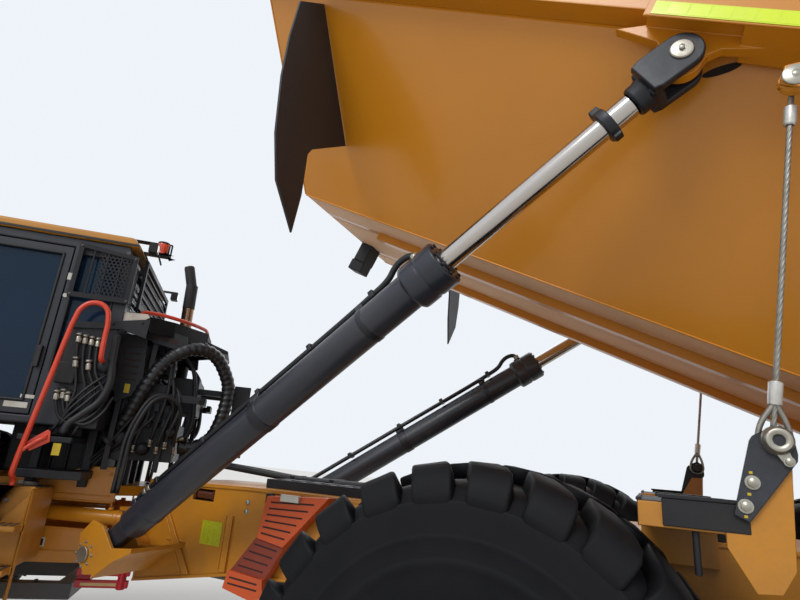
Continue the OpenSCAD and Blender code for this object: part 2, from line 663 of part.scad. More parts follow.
module rear_hoses() color("black") on_tractor() {
  // Thick conduit arching over from the platform to the valve block
  band([[520, 1600.3], [520, 1690], [360, 1870], [300, 2200], [-60, 2630], [-100, 2630]], 50, 550, 100);
  box(-160, -40, 300, 645, 2570, 2690);
  band([[-90, 2620], [-290, 2400], [-270, 1810], [-60.3, 1810]], 50, 305, 100);
  band([[449.7, 2660], [413, 2660], [400, 2170], [400, 1900], [442, 1866], [700, 1866], [700, 1830.3]], 24, 676, 48);
  for (v = [-390, -345, 345, 390])
    band([[149.7, 2600], [60, 2600], [-110, 2450], [-160, 1980], [-120, 1900], [-60.3, 1900]], 18, v - 18, 36);
}

// Hood and front

hood_out = [[2205, 1560], [2205, 2560], [3500, 2330], [3880, 2200], [3960, 1900], [3960, 1560]];
hood_in = [[2150, 1500], [2150, 2515], [3490, 2285], [3840, 2165], [3910, 1890], [3910, 1500]];

module hood() color("goldenrod") on_tractor() difference() {
  plate(hood_out, -560, 1120);
  plate(hood_in, -515, 1030);
  box(3800, 4000, -430, 430, 1620, 2080);
  both_sides() for (i = [0 : 3]) box(2500 + 180 * i, 2620 + 180 * i, 500, 600, 1850, 2150);
}

module grille() color("black") on_tractor() {
  box(3830, 3861, -514.7, 514.7, 1570, 2060);
  for (z = [1680, 1780, 1880, 1980]) box(3860, 3900, -420, 420, z, z + 30);
}

module engine_block() color("gray") on_tractor() {
  box(2300, 3500, -330, 330, 1420.3, 2150);
  box(3560, 3740, -415, 415, 1380.3, 2100);
}

module fenders() color("goldenrod") on_tractor() both_sides() {
  difference() {
    plate([[1110, 1760], [1250, 1955], [2950, 1955], [3120, 1740], [3200, 1740], [3200, 1690], [3090, 1690], [2900, 1908],
      [1300, 1908], [1160, 1720]], 880, 810);
    round_y(front_axle_u, wheel_z, 938, 1800, tyre_radius + 30);
  }
  // Struts from the frame
  for (u = [1240, 2880]) {
    box(u, u + 60, 460.3, 935, 1340, 1400);
    box(u, u + 60, 885, 935, 1340, 1912);
  }
}

module bumper() color("dimgray") on_tractor() {
  sheet([[3760, -1250], [4000, -1200], [4080, -700], [4080, 700], [4000, 1200], [3760, 1250]], 1050, 380);
  both_sides() box(3700.3, 3765, 300, 425, 1100, 1380);
  both_sides() box(3761, 3980, 600, 960, 1429, 1760);
  both_sides() box(4075, 4150, 230, 330, 1100, 1260);
  // Pads under the hood's front edge
  both_sides() box(3915, 3955, 440, 540, 1429, 1559.7);
}

module mirrors() color("black") on_tractor() both_sides() {
  run([[2080, cab_half + 20.3, 3372], [2080, 920, 3372], [2300, 1250, 3330], [2300, 1250, 2500]], 18);
  box(2280, 2320, 1270, 1520, 2600, 3150);
  box(2290, 2310, 1245, 1275, 2700, 2740);
  box(2290, 2310, 1245, 1275, 3050, 3090);
}

module side_tanks() color("dimgray") on_tractor() {
  both_sides() box(700, 1060, 505, 900, 1000, 1480);
  both_sides() box(980, 1060, 460.3, 506, 1050, 1450);
  // Steps to the left and right doors
  both_sides() for (i = [0 : 2]) box(720, 1040, 905, 1050, 700 + 260 * i, 740 + 260 * i);
  both_sides() for (u = [700, 1030]) box(u, u + 20, 899, 940, 640, 1479);
}

// Wheels

// Half section of a tyre: radius, width from its middle plane
tyre_outer = [[rim_radius, 290], [rim_radius + 60, 305], [560, 365], [680, tyre_width / 2], [780, tyre_width / 2],
  [880, 355], [925, 300], [tyre_radius, 230]];
tyre_inner = [[tyre_radius - 65, 200], [tyre_radius - 80, 270], [840, 305], [770, 325], [680, 325], [560, 312],
  [rim_radius + 65, 255], [rim_radius, 245]];
function flipped(points) = [for (i = [len(points) - 1 : -1 : 0]) [points[i][0], -points[i][1]]];

module tyre_body() rotate([90, 0, 0]) rotate_extrude($fn = 96)
  polygon(concat(tyre_outer, flipped(tyre_outer), [for (i = [len(tyre_inner) - 1 : -1 : 0]) [tyre_inner[i][0], -tyre_inner[i][1]]],
    tyre_inner));

// Rim with its outer face toward +Y
module rim_body() rotate([-90, 0, 0]) difference() {
  union() {
    rotate_extrude() polygon([[rim_radius - 25, -285], [rim_radius - 0.3, -285], [rim_radius - 0.3, 285],
      [rim_radius - 25, 285], [rim_radius - 25, 90], [240, 60], [240, 20], [rim_radius - 25, 40]]);
    translate([0, 0, 20]) cylinder(h = 200, r = 242);
    translate([0, 0, 215]) cylinder(h = 65, r = 150);
  }
  for (i = [0 : 11]) rotate([0, 0, 30 * i]) translate([195, 0, 180]) cylinder(h = 60, r = 14);
}

module rear_wheel(x, side) at_origin() translate([x, side * track_half, wheel_z]) children();
module front_wheel(side) on_tractor() translate([front_axle_u, side * track_half, wheel_z]) children();

module tyre_front_left() color("black") front_wheel(1) tyre_body();
module tyre_front_right() color("black") front_wheel(-1) tyre_body();
module tyre_mid_left() color("black") rear_wheel(0, 1) tyre_body();
module tyre_mid_right() color("black") rear_wheel(0, -1) tyre_body();
module tyre_rear_left() color("black") rear_wheel(-bogie_spacing, 1) tyre_body();
module tyre_rear_right() color("black") rear_wheel(-bogie_spacing, -1) tyre_body();
module rim_front_left() color("goldenrod") front_wheel(1) rim_body();
module rim_front_right() color("goldenrod") front_wheel(-1) mirror([0, 1, 0]) rim_body();
module rim_mid_left() color("goldenrod") rear_wheel(0, 1) rim_body();
module rim_mid_right() color("goldenrod") rear_wheel(0, -1) mirror([0, 1, 0]) rim_body();
module rim_rear_left() color("goldenrod") rear_wheel(-bogie_spacing, 1) rim_body();
module rim_rear_right() color("goldenrod") rear_wheel(-bogie_spacing, -1) mirror([0, 1, 0]) rim_body();

rear_frame();
frame_brackets();
frame_trays();
rope_anchors();
wheel_chock();
frame_reflectors();
bogie_beams();
rear_axles();
propshafts();
hoist_barrel_left();
hoist_barrel_right();
hoist_ball_left();
hoist_ball_right();
hoist_rod_left();
hoist_rod_right();
steer_barrel_left();
steer_barrel_right();
steer_rod_left();
steer_rod_right();
bed_shell();
bed_rails();
rail_tape();
bed_flaps();
bed_brackets();
tailgate();
gate_ropes();
tractor_frame();
articulation_lock();
front_axle();
cab_shell();
cab_roof();
cab_glass();
cab_seat();
cab_door();
door_glass();
window_guards();
lamps();
exhaust_stack();
handrails();
rear_machinery();
rear_hoses();
hood();
grille();
engine_block();
fenders();
bumper();
mirrors();
side_tanks();
tyre_front_left();
tyre_front_right();
tyre_mid_left();
tyre_mid_right();
tyre_rear_left();
tyre_rear_right();
rim_front_left();
rim_front_right();
rim_mid_left();
rim_mid_right();
rim_rear_left();
rim_rear_right();
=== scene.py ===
import math
import bmesh
import bpy
from mathutils import Matrix, Vector


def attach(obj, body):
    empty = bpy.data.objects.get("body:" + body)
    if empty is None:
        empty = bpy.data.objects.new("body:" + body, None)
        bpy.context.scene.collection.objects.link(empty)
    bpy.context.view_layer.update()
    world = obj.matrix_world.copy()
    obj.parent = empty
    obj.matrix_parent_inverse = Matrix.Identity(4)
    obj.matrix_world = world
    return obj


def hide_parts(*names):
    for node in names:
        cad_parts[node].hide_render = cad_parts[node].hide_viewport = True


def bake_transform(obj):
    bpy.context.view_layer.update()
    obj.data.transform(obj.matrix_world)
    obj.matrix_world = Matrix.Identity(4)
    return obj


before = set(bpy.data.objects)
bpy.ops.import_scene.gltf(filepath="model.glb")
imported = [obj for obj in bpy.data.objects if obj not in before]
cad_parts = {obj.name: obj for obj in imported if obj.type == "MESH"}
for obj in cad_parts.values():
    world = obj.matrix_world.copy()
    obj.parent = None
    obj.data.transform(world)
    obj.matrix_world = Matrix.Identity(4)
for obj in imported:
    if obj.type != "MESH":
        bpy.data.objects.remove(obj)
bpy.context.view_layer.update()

# ---- Where the machine stands
# The photograph is taken from beside the left rear wheels, a little below head height, looking up and forward
# along the raised hoist cylinder. The floor is plain and pale, and the light is soft, from above and the left.
rear = Matrix.Translation((-1.40335, -0.8752, 0.0))
steer_angle, bed_angle, gate_angle = math.radians(40), math.radians(25), math.radians(22.5)
hitch_x, bed_hinge, gate_hinge = 3.2, Vector((-2.3, 0, 1.6)), Vector((-1.95, 0, 2.97))
tractor = rear @ Matrix.Translation((hitch_x, 0, 0)) @ Matrix.Rotation(steer_angle, 4, "Z")
bed = rear @ Matrix.Translation(bed_hinge) @ Matrix.Rotation(-bed_angle, 4, "Y") @ Matrix.Translation(-bed_hinge)
gate = (bed @ Matrix.Translation(gate_hinge) @ Matrix.Rotation(gate_angle, 4, "Y")
        @ Matrix.Translation(-gate_hinge))

yaw, pitch, roll = math.radians(25.21), math.radians(17.19), math.radians(4.8)
ahead = Vector((math.sin(yaw) * math.cos(pitch), -math.cos(yaw) * math.cos(pitch), math.sin(pitch)))
level = ahead.cross(Vector((0, 0, 1))).normalized()
upright = level.cross(ahead)
across = level * math.cos(roll) + upright * math.sin(roll)
up = upright * math.cos(roll) - level * math.sin(roll)
camera = bpy.data.objects.new("camera", bpy.data.cameras.new("camera"))
camera.data.lens, camera.data.sensor_width, camera.data.clip_end = 23.85, 36.0, 200.0
camera.matrix_world = (Matrix.Translation((-2.02535, 2.7728, 1.835))
                       @ Matrix((across, up, -ahead)).transposed().to_4x4())
bpy.context.collection.objects.link(camera)
bpy.context.scene.camera = camera
bpy.context.scene.view_settings.view_transform = "Standard"


def tone(r, g, b):
    """A colour as a paint card gives it, 0 to 255, made linear."""
    return tuple((c / 255 / 12.92 if c < 11 else ((c / 255 + 0.055) / 1.055) ** 2.4) for c in (r, g, b)) + (1.0,)


floor_cut = bmesh.new()
bmesh.ops.create_grid(floor_cut, x_segments=1, y_segments=1, size=60)
floor_mesh = bpy.data.meshes.new("floor")
floor_cut.to_mesh(floor_mesh)
floor_cut.free()
floor = bpy.data.objects.new("floor", floor_mesh)
bpy.context.collection.objects.link(floor)
floor_finish = bpy.data.materials.new("pale_floor")
floor_finish.use_nodes = True
floor_skin = floor_finish.node_tree.nodes["Principled BSDF"]
floor_skin.inputs["Base Color"].default_value = tone(226, 224, 219)
floor_skin.inputs["Roughness"].default_value = 0.9
floor_mesh.materials.append(floor_finish)

world = bpy.data.worlds.new("soft_sky")
bpy.context.scene.world = world
world.use_nodes = True
sky, sky_link = world.node_tree.nodes, world.node_tree.links
seen, thrown = sky.new("ShaderNodeBackground"), sky.new("ShaderNodeBackground")
either, swap = sky.new("ShaderNodeMath"), sky.new("ShaderNodeMixShader")
seen.inputs["Color"].default_value, seen.inputs["Strength"].default_value = (0.86, 0.9, 0.95, 1), 1.0
thrown.inputs["Color"].default_value, thrown.inputs["Strength"].default_value = (0.93, 0.96, 1.0, 1), 0.62
path = sky.new("ShaderNodeLightPath")
either.operation = "MAXIMUM"
mirrored_ray = sky.new("ShaderNodeMath")
mirrored_ray.operation = "MAXIMUM"
sky_link.new(path.outputs["Is Glossy Ray"], mirrored_ray.inputs[0])
sky_link.new(path.outputs["Is Transmission Ray"], mirrored_ray.inputs[1])
sky_link.new(path.outputs["Is Camera Ray"], either.inputs[0])
sky_link.new(mirrored_ray.outputs[0], either.inputs[1])
sky_link.new(either.outputs[0], swap.inputs["Fac"])
sky_link.new(thrown.outputs[0], swap.inputs[1])
sky_link.new(seen.outputs[0], swap.inputs[2])
sky_link.new(swap.outputs[0], sky["World Output"].inputs["Surface"])

for lamp_name, turn, strength, spread in (("key", (52, 8, 165), 1.35, 25), ("fill", (60, 0, 20), 0.55, 40)):
    lamp = bpy.data.objects.new(lamp_name, bpy.data.lights.new(lamp_name, "SUN"))
    lamp.rotation_euler = [math.radians(t) for t in turn]
    lamp.data.energy, lamp.data.angle = strength, math.radians(spread)
    bpy.context.collection.objects.link(lamp)


# ---- Rear frame
# Two deep welded side plates boxed by a top, a bottom and cross members, in golden machine paint that has gone
# dusty in the corners. The hoist brackets, the hitch neck and the rope outriggers are welded to it.
def layered(name, base, worn, rough=0.4, metallic=0.0, blotch=0.9, amount=0.5, grit=70.0, lift=0.0006, coat=0.0,
            stretch=(1, 1, 1), shine=0.5):
    """A finish with broad wear, fine dirt and a slightly uneven skin, all held to the piece it is on."""
    made = bpy.data.materials.new(name)
    made.use_nodes = True
    n, l = made.node_tree.nodes, made.node_tree.links
    skin = n["Principled BSDF"]
    skin.inputs["Metallic"].default_value = metallic
    skin.inputs["Coat Weight"].default_value = coat
    skin.inputs["Specular IOR Level"].default_value = shine
    skin.inputs["Coat Roughness"].default_value = 0.12
    where, lay = n.new("ShaderNodeTexCoord"), n.new("ShaderNodeMapping")
    lay.inputs["Scale"].default_value = stretch
    l.new(where.outputs["Object"], lay.inputs["Vector"])
    broad, fine = n.new("ShaderNodeTexNoise"), n.new("ShaderNodeTexNoise")
    for texture, scale, detail in ((broad, blotch, 9), (fine, grit, 4)):
        texture.inputs["Scale"].default_value, texture.inputs["Detail"].default_value = scale, detail
        texture.inputs["Roughness"].default_value = 0.64
        l.new(lay.outputs[0], texture.inputs["Vector"])
    spread, specks = n.new("ShaderNodeValToRGB"), n.new("ShaderNodeValToRGB")
    spread.color_ramp.elements[0].position, spread.color_ramp.elements[1].position = 0.42, 0.74
    specks.color_ramp.elements[0].position, specks.color_ramp.elements[1].position = 0.56, 0.78
    l.new(broad.outputs["Fac"], spread.inputs["Fac"])
    l.new(fine.outputs["Fac"], specks.inputs["Fac"])
    both, held = n.new("ShaderNodeMath"), n.new("ShaderNodeMath")
    both.operation, held.operation, held.use_clamp = "MULTIPLY_ADD", "MULTIPLY", True
    both.inputs[1].default_value, held.inputs[1].default_value = 0.45, amount
    l.new(specks.outputs["Color"], both.inputs[0])
    l.new(spread.outputs["Color"], both.inputs[2])
    l.new(both.outputs[0], held.inputs[0])
    mix = n.new("ShaderNodeMix")
    mix.data_type = "RGBA"
    mix.inputs[6].default_value, mix.inputs[7].default_value = tone(*base), tone(*worn)
    l.new(held.outputs[0], mix.inputs[0])
    l.new(mix.outputs[2], skin.inputs["Base Color"])
    matt = n.new("ShaderNodeMapRange")
    matt.inputs["To Min"].default_value, matt.inputs["To Max"].default_value = rough, min(1.0, rough + 0.35)
    l.new(held.outputs[0], matt.inputs["Value"])
    l.new(matt.outputs[0], skin.inputs["Roughness"])
    relief = n.new("ShaderNodeBump")
    relief.inputs["Strength"].default_value, relief.inputs["Distance"].default_value = 0.6, lift
    l.new(fine.outputs["Fac"], relief.inputs["Height"])
    l.new(relief.outputs[0], skin.inputs["Normal"])
    return made


def soften(piece, edge, clean=True):
    """Rounds the sharp edges by a few millimetres and keeps the flats flat, as on folded and flame-cut steel."""
    for face in piece.data.polygons:
        face.use_smooth = True
    for kind in (("WELD", "DECIMATE") if clean else ()) + (("BEVEL",) if edge else ()) + ("WEIGHTED_NORMAL",):
        step = piece.modifiers.new(kind.lower(), kind)
        if kind == "WELD":
            step.merge_threshold = 0.00005
        if kind == "DECIMATE":
            step.decimate_type, step.angle_limit = "DISSOLVE", math.radians(0.5)
        if kind == "BEVEL":
            step.width, step.segments, step.limit_method, step.angle_limit = edge, 2, "ANGLE", math.radians(28)
            step.use_clamp_overlap = False
        if kind == "WEIGHTED_NORMAL":
            step.weight, step.keep_sharp = 60, False


def dress(node, finish, edge=0.003):
    """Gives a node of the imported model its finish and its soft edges."""
    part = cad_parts[node]
    part.data.materials.clear()
    part.data.materials.append(finish)
    soften(part, edge)


def moved(cut, before, place):
    """Moves what was drawn since before to its place."""
    bmesh.ops.transform(cut, matrix=place, verts=[v for v in cut.verts if v not in before])


def block(cut, x0, x1, y0, y1, z0, z1, edge=0.0):
    """A block between two corners, its edges softened if a width is given."""
    made = bmesh.ops.create_cube(cut, size=1.0,
                                 matrix=Matrix.Translation(((x0 + x1) / 2, (y0 + y1) / 2, (z0 + z1) / 2))
                                 @ Matrix.Diagonal((x1 - x0, y1 - y0, z1 - z0, 1)))
    if edge:
        bmesh.ops.bevel(cut, geom=list({e for v in made["verts"] for e in v.link_edges}), offset=edge, segments=2,
                        profile=0.5, affect="EDGES", material=-1)


def round_bar(cut, a, b, radius, sides=20, edge=0.0):
    """A bar of round section from one point to another, its rims softened if a width is given."""
    a, b = Vector(a), Vector(b)
    turn = (b - a).to_track_quat("Z", "Y").to_matrix().to_4x4()
    made = bmesh.ops.create_cone(cut, cap_ends=True, segments=sides, radius1=radius, radius2=radius,
                                 depth=(b - a).length, matrix=Matrix.Translation((a + b) / 2) @ turn)
    if edge:
        rims = {e for v in made["verts"] for e in v.link_edges if any(len(f.verts) > 4 for f in e.link_faces)}
        bmesh.ops.bevel(cut, geom=list(rims), offset=edge, segments=2, profile=0.5, affect="EDGES", material=-1)


def flame_cut(cut, outline, y0, y1, edge=0.0):
    """A plate cut to an outline in x and z, from y0 to y1."""
    face = cut.faces.new([cut.verts.new((x, y0, z)) for x, z in outline])
    out = bmesh.ops.extrude_face_region(cut, geom=[face])["geom"]
    new = [v for v in out if isinstance(v, bmesh.types.BMVert)]
    bmesh.ops.translate(cut, vec=(0, y1 - y0, 0), verts=new)
    if edge:
        far = [f for f in out if isinstance(f, bmesh.types.BMFace)]
        bmesh.ops.bevel(cut, geom=list({e for f in far + [face] if f.is_valid for e in f.edges}), offset=edge,
                        segments=2, profile=0.5, affect="EDGES", material=-1)


def lathed(cut, profile, place=Matrix.Identity(4), sides=32):
    """A turned shape from points of radius and height, round the z axis of its place."""
    before = set(cut.verts)
    line = [cut.verts.new((r, 0, h)) for r, h in profile]
    edges = [cut.edges.new(pair) for pair in zip(line, line[1:])]
    bmesh.ops.spin(cut, geom=line + edges, cent=(0, 0, 0), axis=(0, 0, 1), dvec=(0, 0, 0), angle=math.tau,
                   steps=sides, use_merge=True, use_duplicate=False)
    bmesh.ops.remove_doubles(cut, verts=[v for v in cut.verts if v not in before], dist=1e-6)
    moved(cut, before, place)


def facing(at, toward):
    """A place at a point with its z axis along a direction."""
    return Matrix.Translation(at) @ Vector(toward).to_track_quat("Z", "Y").to_matrix().to_4x4()


def hex_bolt(cut, at, toward, size=0.012, washer=True):
    """A washered bolt head standing off a face."""
    before = set(cut.verts)
    if washer:
        round_bar(cut, (0, 0, -0.001), (0, 0, size * 0.22), size * 1.15, sides=16)
    bmesh.ops.create_cone(cut, cap_ends=True, segments=6, radius1=size * 0.86, radius2=size * 0.8, depth=size * 0.7,
                          matrix=Matrix.Translation((0, 0, size * 0.5)))
    moved(cut, before, facing(at, toward))


def bolt_circle(cut, centre, toward, radius, count, size, first=0.0, washer=True):
    """A ring of bolts on a face square to x, y or z, the first of them by a share of a step round."""
    flat = [k for k in range(3) if not toward[k]]
    for n in range(count):
        at, turn = list(centre), (n + first) * math.tau / count
        at[flat[0]] += radius * math.cos(turn)
        at[flat[1]] += radius * math.sin(turn)
        hex_bolt(cut, at, toward, size, washer)


def fit(name, cut, place, finish, body, both=False, smooth=True):
    """Finishes a drawn piece: mirrored for the other side if asked, put in its place and fixed to its body."""
    if both:
        twin = bmesh.ops.duplicate(cut, geom=list(cut.verts) + list(cut.edges) + list(cut.faces))["geom"]
        bmesh.ops.scale(cut, vec=(1, -1, 1), verts=[v for v in twin if isinstance(v, bmesh.types.BMVert)])
    cut.transform(place)
    bmesh.ops.recalc_face_normals(cut, faces=list(cut.faces))
    mesh = bpy.data.meshes.new(name)
    cut.to_mesh(mesh)
    cut.free()
    piece = bpy.data.objects.new(name, mesh)
    bpy.context.collection.objects.link(piece)
    mesh.materials.append(finish)
    if smooth:
        soften(piece, 0, clean=False)
    if body:
        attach(piece, body)
    return piece


def hose(name, points, radius, place, finish, body, rounds=3):
    """A bent pipe, rail or hose through its points."""
    line = bpy.data.curves.new(name, "CURVE")
    line.dimensions, line.use_fill_caps = "3D", True
    line.bevel_depth, line.bevel_resolution, line.resolution_u = radius, rounds, 6
    path = line.splines.new("BEZIER")
    path.bezier_points.add(len(points) - 1)
    for knot, p in zip(path.bezier_points, points):
        knot.co = place @ Vector(p)
        knot.handle_left_type = knot.handle_right_type = "AUTO"
    piece = bpy.data.objects.new(name, line)
    bpy.context.collection.objects.link(piece)
    line.materials.append(finish)
    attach(piece, body)
    return piece


def sides(points):
    """The same points on the left and on the right."""
    return (("left", points), ("right", [(x, -y, z) for x, y, z in points]))


gold_frame = layered("frame_paint", (194, 128, 28), (138, 96, 46), rough=0.42, blotch=1.7, amount=0.62, coat=0.1)
black_steel = layered("black_steel", (19, 21, 27), (54, 52, 50), rough=0.48, blotch=2.2, amount=0.5, shine=0.3)
grey_steel = layered("grey_steel", (74, 74, 76), (104, 94, 80), rough=0.5, blotch=2.0, amount=0.6)
zinc = layered("zinc_plate", (176, 172, 160), (126, 116, 98), rough=0.3, metallic=0.85, blotch=14,
               amount=0.55, grit=240)
pale_plate = layered("pale_blank_plate", (206, 204, 194), (160, 150, 132), rough=0.45, blotch=9, amount=0.5)
rubber_hose = layered("hose_rubber", (17, 18, 21), (46, 45, 45), rough=0.5, blotch=6, amount=0.45)
dress("rear_frame", gold_frame, 0.004)
dress("frame_brackets", gold_frame, 0.004)
cut = bmesh.new()
# Lips along the lower edge and the top edge of each side plate
flame_cut(cut, [(2.86, 0.884), (1.98, 1.044), (0.62, 1.133), (0.62, 1.117), (1.98, 1.026), (2.86, 0.866)],
          0.4505, 0.4615)
flame_cut(cut, [(2.86, 1.566), (1.9, 1.592), (-2.1, 1.592), (-2.1, 1.578), (1.9, 1.578), (2.86, 1.552)],
          0.4505, 0.4615)
# Weld beads round the hoist bracket and the ribs
for a, b in (((2.93, 0.452, 1.21), (2.83, 0.452, 1.306)), ((2.42, 0.452, 1.183), (2.6, 0.452, 1.183)),
             ((2.645, 0.466, 1.397), (2.336, 0.466, 0.99)), ((2.676, 0.466, 1.397), (2.402, 0.466, 0.98)),
             ((2.078, 0.466, 1.397), (2.078, 0.466, 1.05)), ((2.022, 0.466, 1.397), (2.022, 0.466, 1.05)),
             ((-0.918, 0.452, 1.49), (-0.918, 0.452, 1.7)), ((-0.592, 0.452, 1.49), (-0.592, 0.452, 1.7))):
    round_bar(cut, a, b, 0.006, sides=8)
fit("frame_lips", cut, rear, gold_frame, "rear_frame", both=True)
cut = bmesh.new()
# Bolts along the side plates, and the bolted cap over the hoist cylinder's base pin
for x, z in ((2.62, 1.5), (2.55, 1.5), (1.92, 1.5), (1.92, 1.44), (1.02, 1.5), (0.9, 1.5), (-0.3, 1.5),
             (-0.42, 1.5), (-1.5, 1.5), (-1.6, 1.5)):
    hex_bolt(cut, (x, 0.45, z), (0, 1, 0), 0.016)
hoist_base = (2.843, 0.79, 1.095)
bolt_circle(cut, (hoist_base[0], 0.915, hoist_base[2]), (0, 1, 0), 0.075, 8, 0.009)
round_bar(cut, (hoist_base[0], 0.9149, hoist_base[2]), (hoist_base[0], 0.932, hoist_base[2]), 0.05,
          sides=32, edge=0.004)
fit("frame_bolts", cut, rear, zinc, "rear_frame", both=True)
cut = bmesh.new()
block(cut, 2.26, 2.4, 0.4, 0.448, 1.485, 1.535, 0.012)
for x in (2.245, 2.415):
    block(cut, x - 0.01, x + 0.01, 0.41, 0.449, 1.48, 1.54, 0.002)
fit("frame_marker_lamps", cut, rear, layered("smoked_lens", (92, 48, 30), (60, 44, 36), rough=0.25, blotch=20,
                                             amount=0.5, coat=0.5), "rear_frame", both=True)
cut = bmesh.new()
# Dark channel over each outrigger
block(cut, -0.922, -0.588, 0.502, 1.5265, 1.7035, 1.7865, 0.003)
block(cut, -0.925, -0.91, 0.502, 1.5265, 1.785, 1.795, 0.002)
block(cut, -0.6, -0.585, 0.502, 1.5265, 1.785, 1.795, 0.002)
# Rubber end cover, steel strip and drain rod of the outrigger's end
block(cut, -0.915, -0.665, 1.5402, 1.552, 1.712, 1.8, 0.004)
block(cut, -0.925, -0.655, 1.5402, 1.556, 1.8, 1.812, 0.002)
round_bar(cut, (-0.762, 1.51, 1.57), (-0.762, 1.51, 1.706), 0.011, sides=14, edge=0.002)
fit("outrigger_channels", cut, rear, black_steel, "rear_frame", both=True)

# Hose tray, cover plates and rest pads on the frame's top: folded black steel with raised strips, bolted down, with
# three hoses laid along it under steel clips.
dress("frame_trays", black_steel, 0.003)
cut = bmesh.new()
for s in range(6):
    block(cut, 1.12 + 0.125 * s, 1.19 + 0.125 * s, 0.15, 0.3, 1.6615, 1.6665, 0.002)
    hex_bolt(cut, (1.03 + 0.165 * s, -0.13, 1.642), (0, 0, 1), 0.01)
    hex_bolt(cut, (1.03 + 0.165 * s, 0.04, 1.642), (0, 0, 1), 0.01)
for x in (1.1, 1.5, 1.85):
    block(cut, x, x + 0.03, -0.14, 0.05, 1.6415, 1.688, 0.004)
fit("tray_fittings", cut, rear, black_steel, "rear_frame")
for i, y in enumerate((-0.11, -0.045, 0.02)):
    hose("tray_hose_%d" % i, [(1.0, y, 1.664), (1.5, y, 1.664), (1.9, y, 1.666), (2.35, y, 1.697),
                              (2.778, y, 1.721)], 0.0215, rear, rubber_hose, "rear_frame")

# Wheel chock, stowed on the left side: a ribbed sheet folded into three leaves like a small step, in orange-red
# paint, the middle leaf painted darker brown as shade under the fold, with grip slots drawn as dark painted shade,
# a pale pad at its top and black hangers.
orange_chock = layered("step_paint", (205, 84, 34), (150, 74, 44), rough=0.5, blotch=3, amount=0.45)
dress("wheel_chock", orange_chock, 0.003)
shadow_slot = layered("dark_slot", (44, 24, 20), (70, 44, 34), rough=0.8, blotch=9, amount=0.4)


def leaf_point(corners, across, down):
    """A point on a four-cornered leaf, by its shares across and down."""
    a, b, c, d = [Vector(k) for k in corners]
    return (a.lerp(b, across)).lerp(d.lerp(c, across), down)


upper = [(1.686, 1.565), (1.21, 1.595), (1.512, 1.27), (1.725, 1.302)]
middle = [(1.735, 1.313), (1.502, 1.281), (1.637, 1.058), (1.918, 1.076)]
foot = [(1.911, 1.086), (1.631, 1.068), (1.611, 0.964), (1.937, 0.976)]
half_slot = 0.005
cut = bmesh.new()
for leaf, y, rows in ((upper, 0.5583, 6), (middle, 0.5383, 4), (foot, 0.5633, 2)):
    for r in range(rows):
        down = (r + 1) / (rows + 1)
        a, b = leaf_point(leaf, 0.1, down), leaf_point(leaf, 0.86, down)
        flame_cut(cut, [(a.x, a.y + half_slot), (b.x, b.y + half_slot), (b.x, b.y - half_slot),
                        (a.x, a.y - half_slot)], y - 0.001, y + 0.0016)
fit("step_slots", cut, rear, shadow_slot, "rear_frame", smooth=False)
# The middle leaf is a darker sheet: painted shade under the fold.
cut = bmesh.new()
flame_cut(cut, [tuple(leaf_point(middle, u, v))
                for u, v in ((0.01, 0.03), (0.99, 0.03), (0.99, 0.97), (0.01, 0.97))], 0.5375, 0.5395)
fit("step_middle_leaf", cut, rear, layered("step_paint_painted_shade", (134, 52, 34), (104, 56, 42), rough=0.6, blotch=4,
                                           amount=0.5), "rear_frame")
cut = bmesh.new()
block(cut, 1.421, 1.563, 0.5588, 0.584, 1.545, 1.588, 0.004)
fit("step_pad", cut, rear, pale_plate, "rear_frame")
cut = bmesh.new()
block(cut, 1.694, 1.74, 0.4625, 0.5, 1.51, 1.575, 0.003)
block(cut, 1.13, 1.2, 0.4625, 0.5, 1.545, 1.59, 0.003)
fit("step_hangers", cut, rear, black_steel, "rear_frame")

# Reflectors: squares of yellow-green prismatic sheet stuck to the frame's sides and to its rear cross member, each
# moulded in four upright cells with a strip above them.
reflective = layered("reflective_sheet", (196, 196, 34), (160, 156, 60), rough=0.3, blotch=16, amount=0.5, coat=0.3)
dress("frame_reflectors", reflective, 0)
cut = bmesh.new()
cell_step = 0.042
for s in range(4):
    block(cut, 2.118 + cell_step * s, 2.15 + cell_step * s, 0.4541, 0.4549, 1.198, 1.318)
block(cut, 2.112, 2.288, 0.4541, 0.4555, 1.328, 1.342)
fit("reflector_cells", cut, rear, layered("reflective_cells", (176, 180, 30), (206, 206, 70), rough=0.2, blotch=30,
                                          amount=0.6, coat=0.5), "rear_frame", both=True)

# Rope anchors: a thick speckled black plate bolted to each outrigger's yellow end, with a turned pin, its lock
# plate and two washered bolts. The tailgate's wire rope runs up from the pin.
speckled = layered("speckled_black", (20, 21, 25), (74, 78, 88), rough=0.5, blotch=3, amount=0.55,
                   grit=110, lift=0.0009)
dress("rope_anchors", speckled, 0.004)
cut = bmesh.new()
lathed(cut, [(0, 0.0), (0.018, 0.0), (0.019, 0.012), (0.034, 0.014), (0.038, 0.008), (0.038, -0.002),
             (0.044, -0.004), (0.046, -0.026)], facing((-1.008, 1.598, 2.003), (0, 1, 0)), 40)
flame_cut(cut, [(-0.985, 1.985), (-1.02, 1.928), (-1.044, 1.93), (-1.04, 1.955), (-1.03, 1.99)], 1.57, 1.584, 0.002)
for x, z, size in ((-1.031, 1.94, 0.014), (-0.929, 1.87, 0.019), (-0.904, 1.797, 0.019)):
    hex_bolt(cut, (x, 1.584 if size < 0.018 else 1.57, z), (0, 1, 0), size)
fit("anchor_fittings", cut, rear, zinc, "rear_frame", both=True)
cut = bmesh.new()
for x, z in ((-0.927, 1.9), (-0.917, 1.834), (-0.902, 1.766)):
    block(cut, x - 0.005, x + 0.005, 1.57, 1.5712, z - 0.004, z + 0.004)
fit("torque_marks", cut, rear, layered("paint_mark", (206, 176, 40), (170, 140, 60), rough=0.6, blotch=30),
    "rear_frame", both=True)

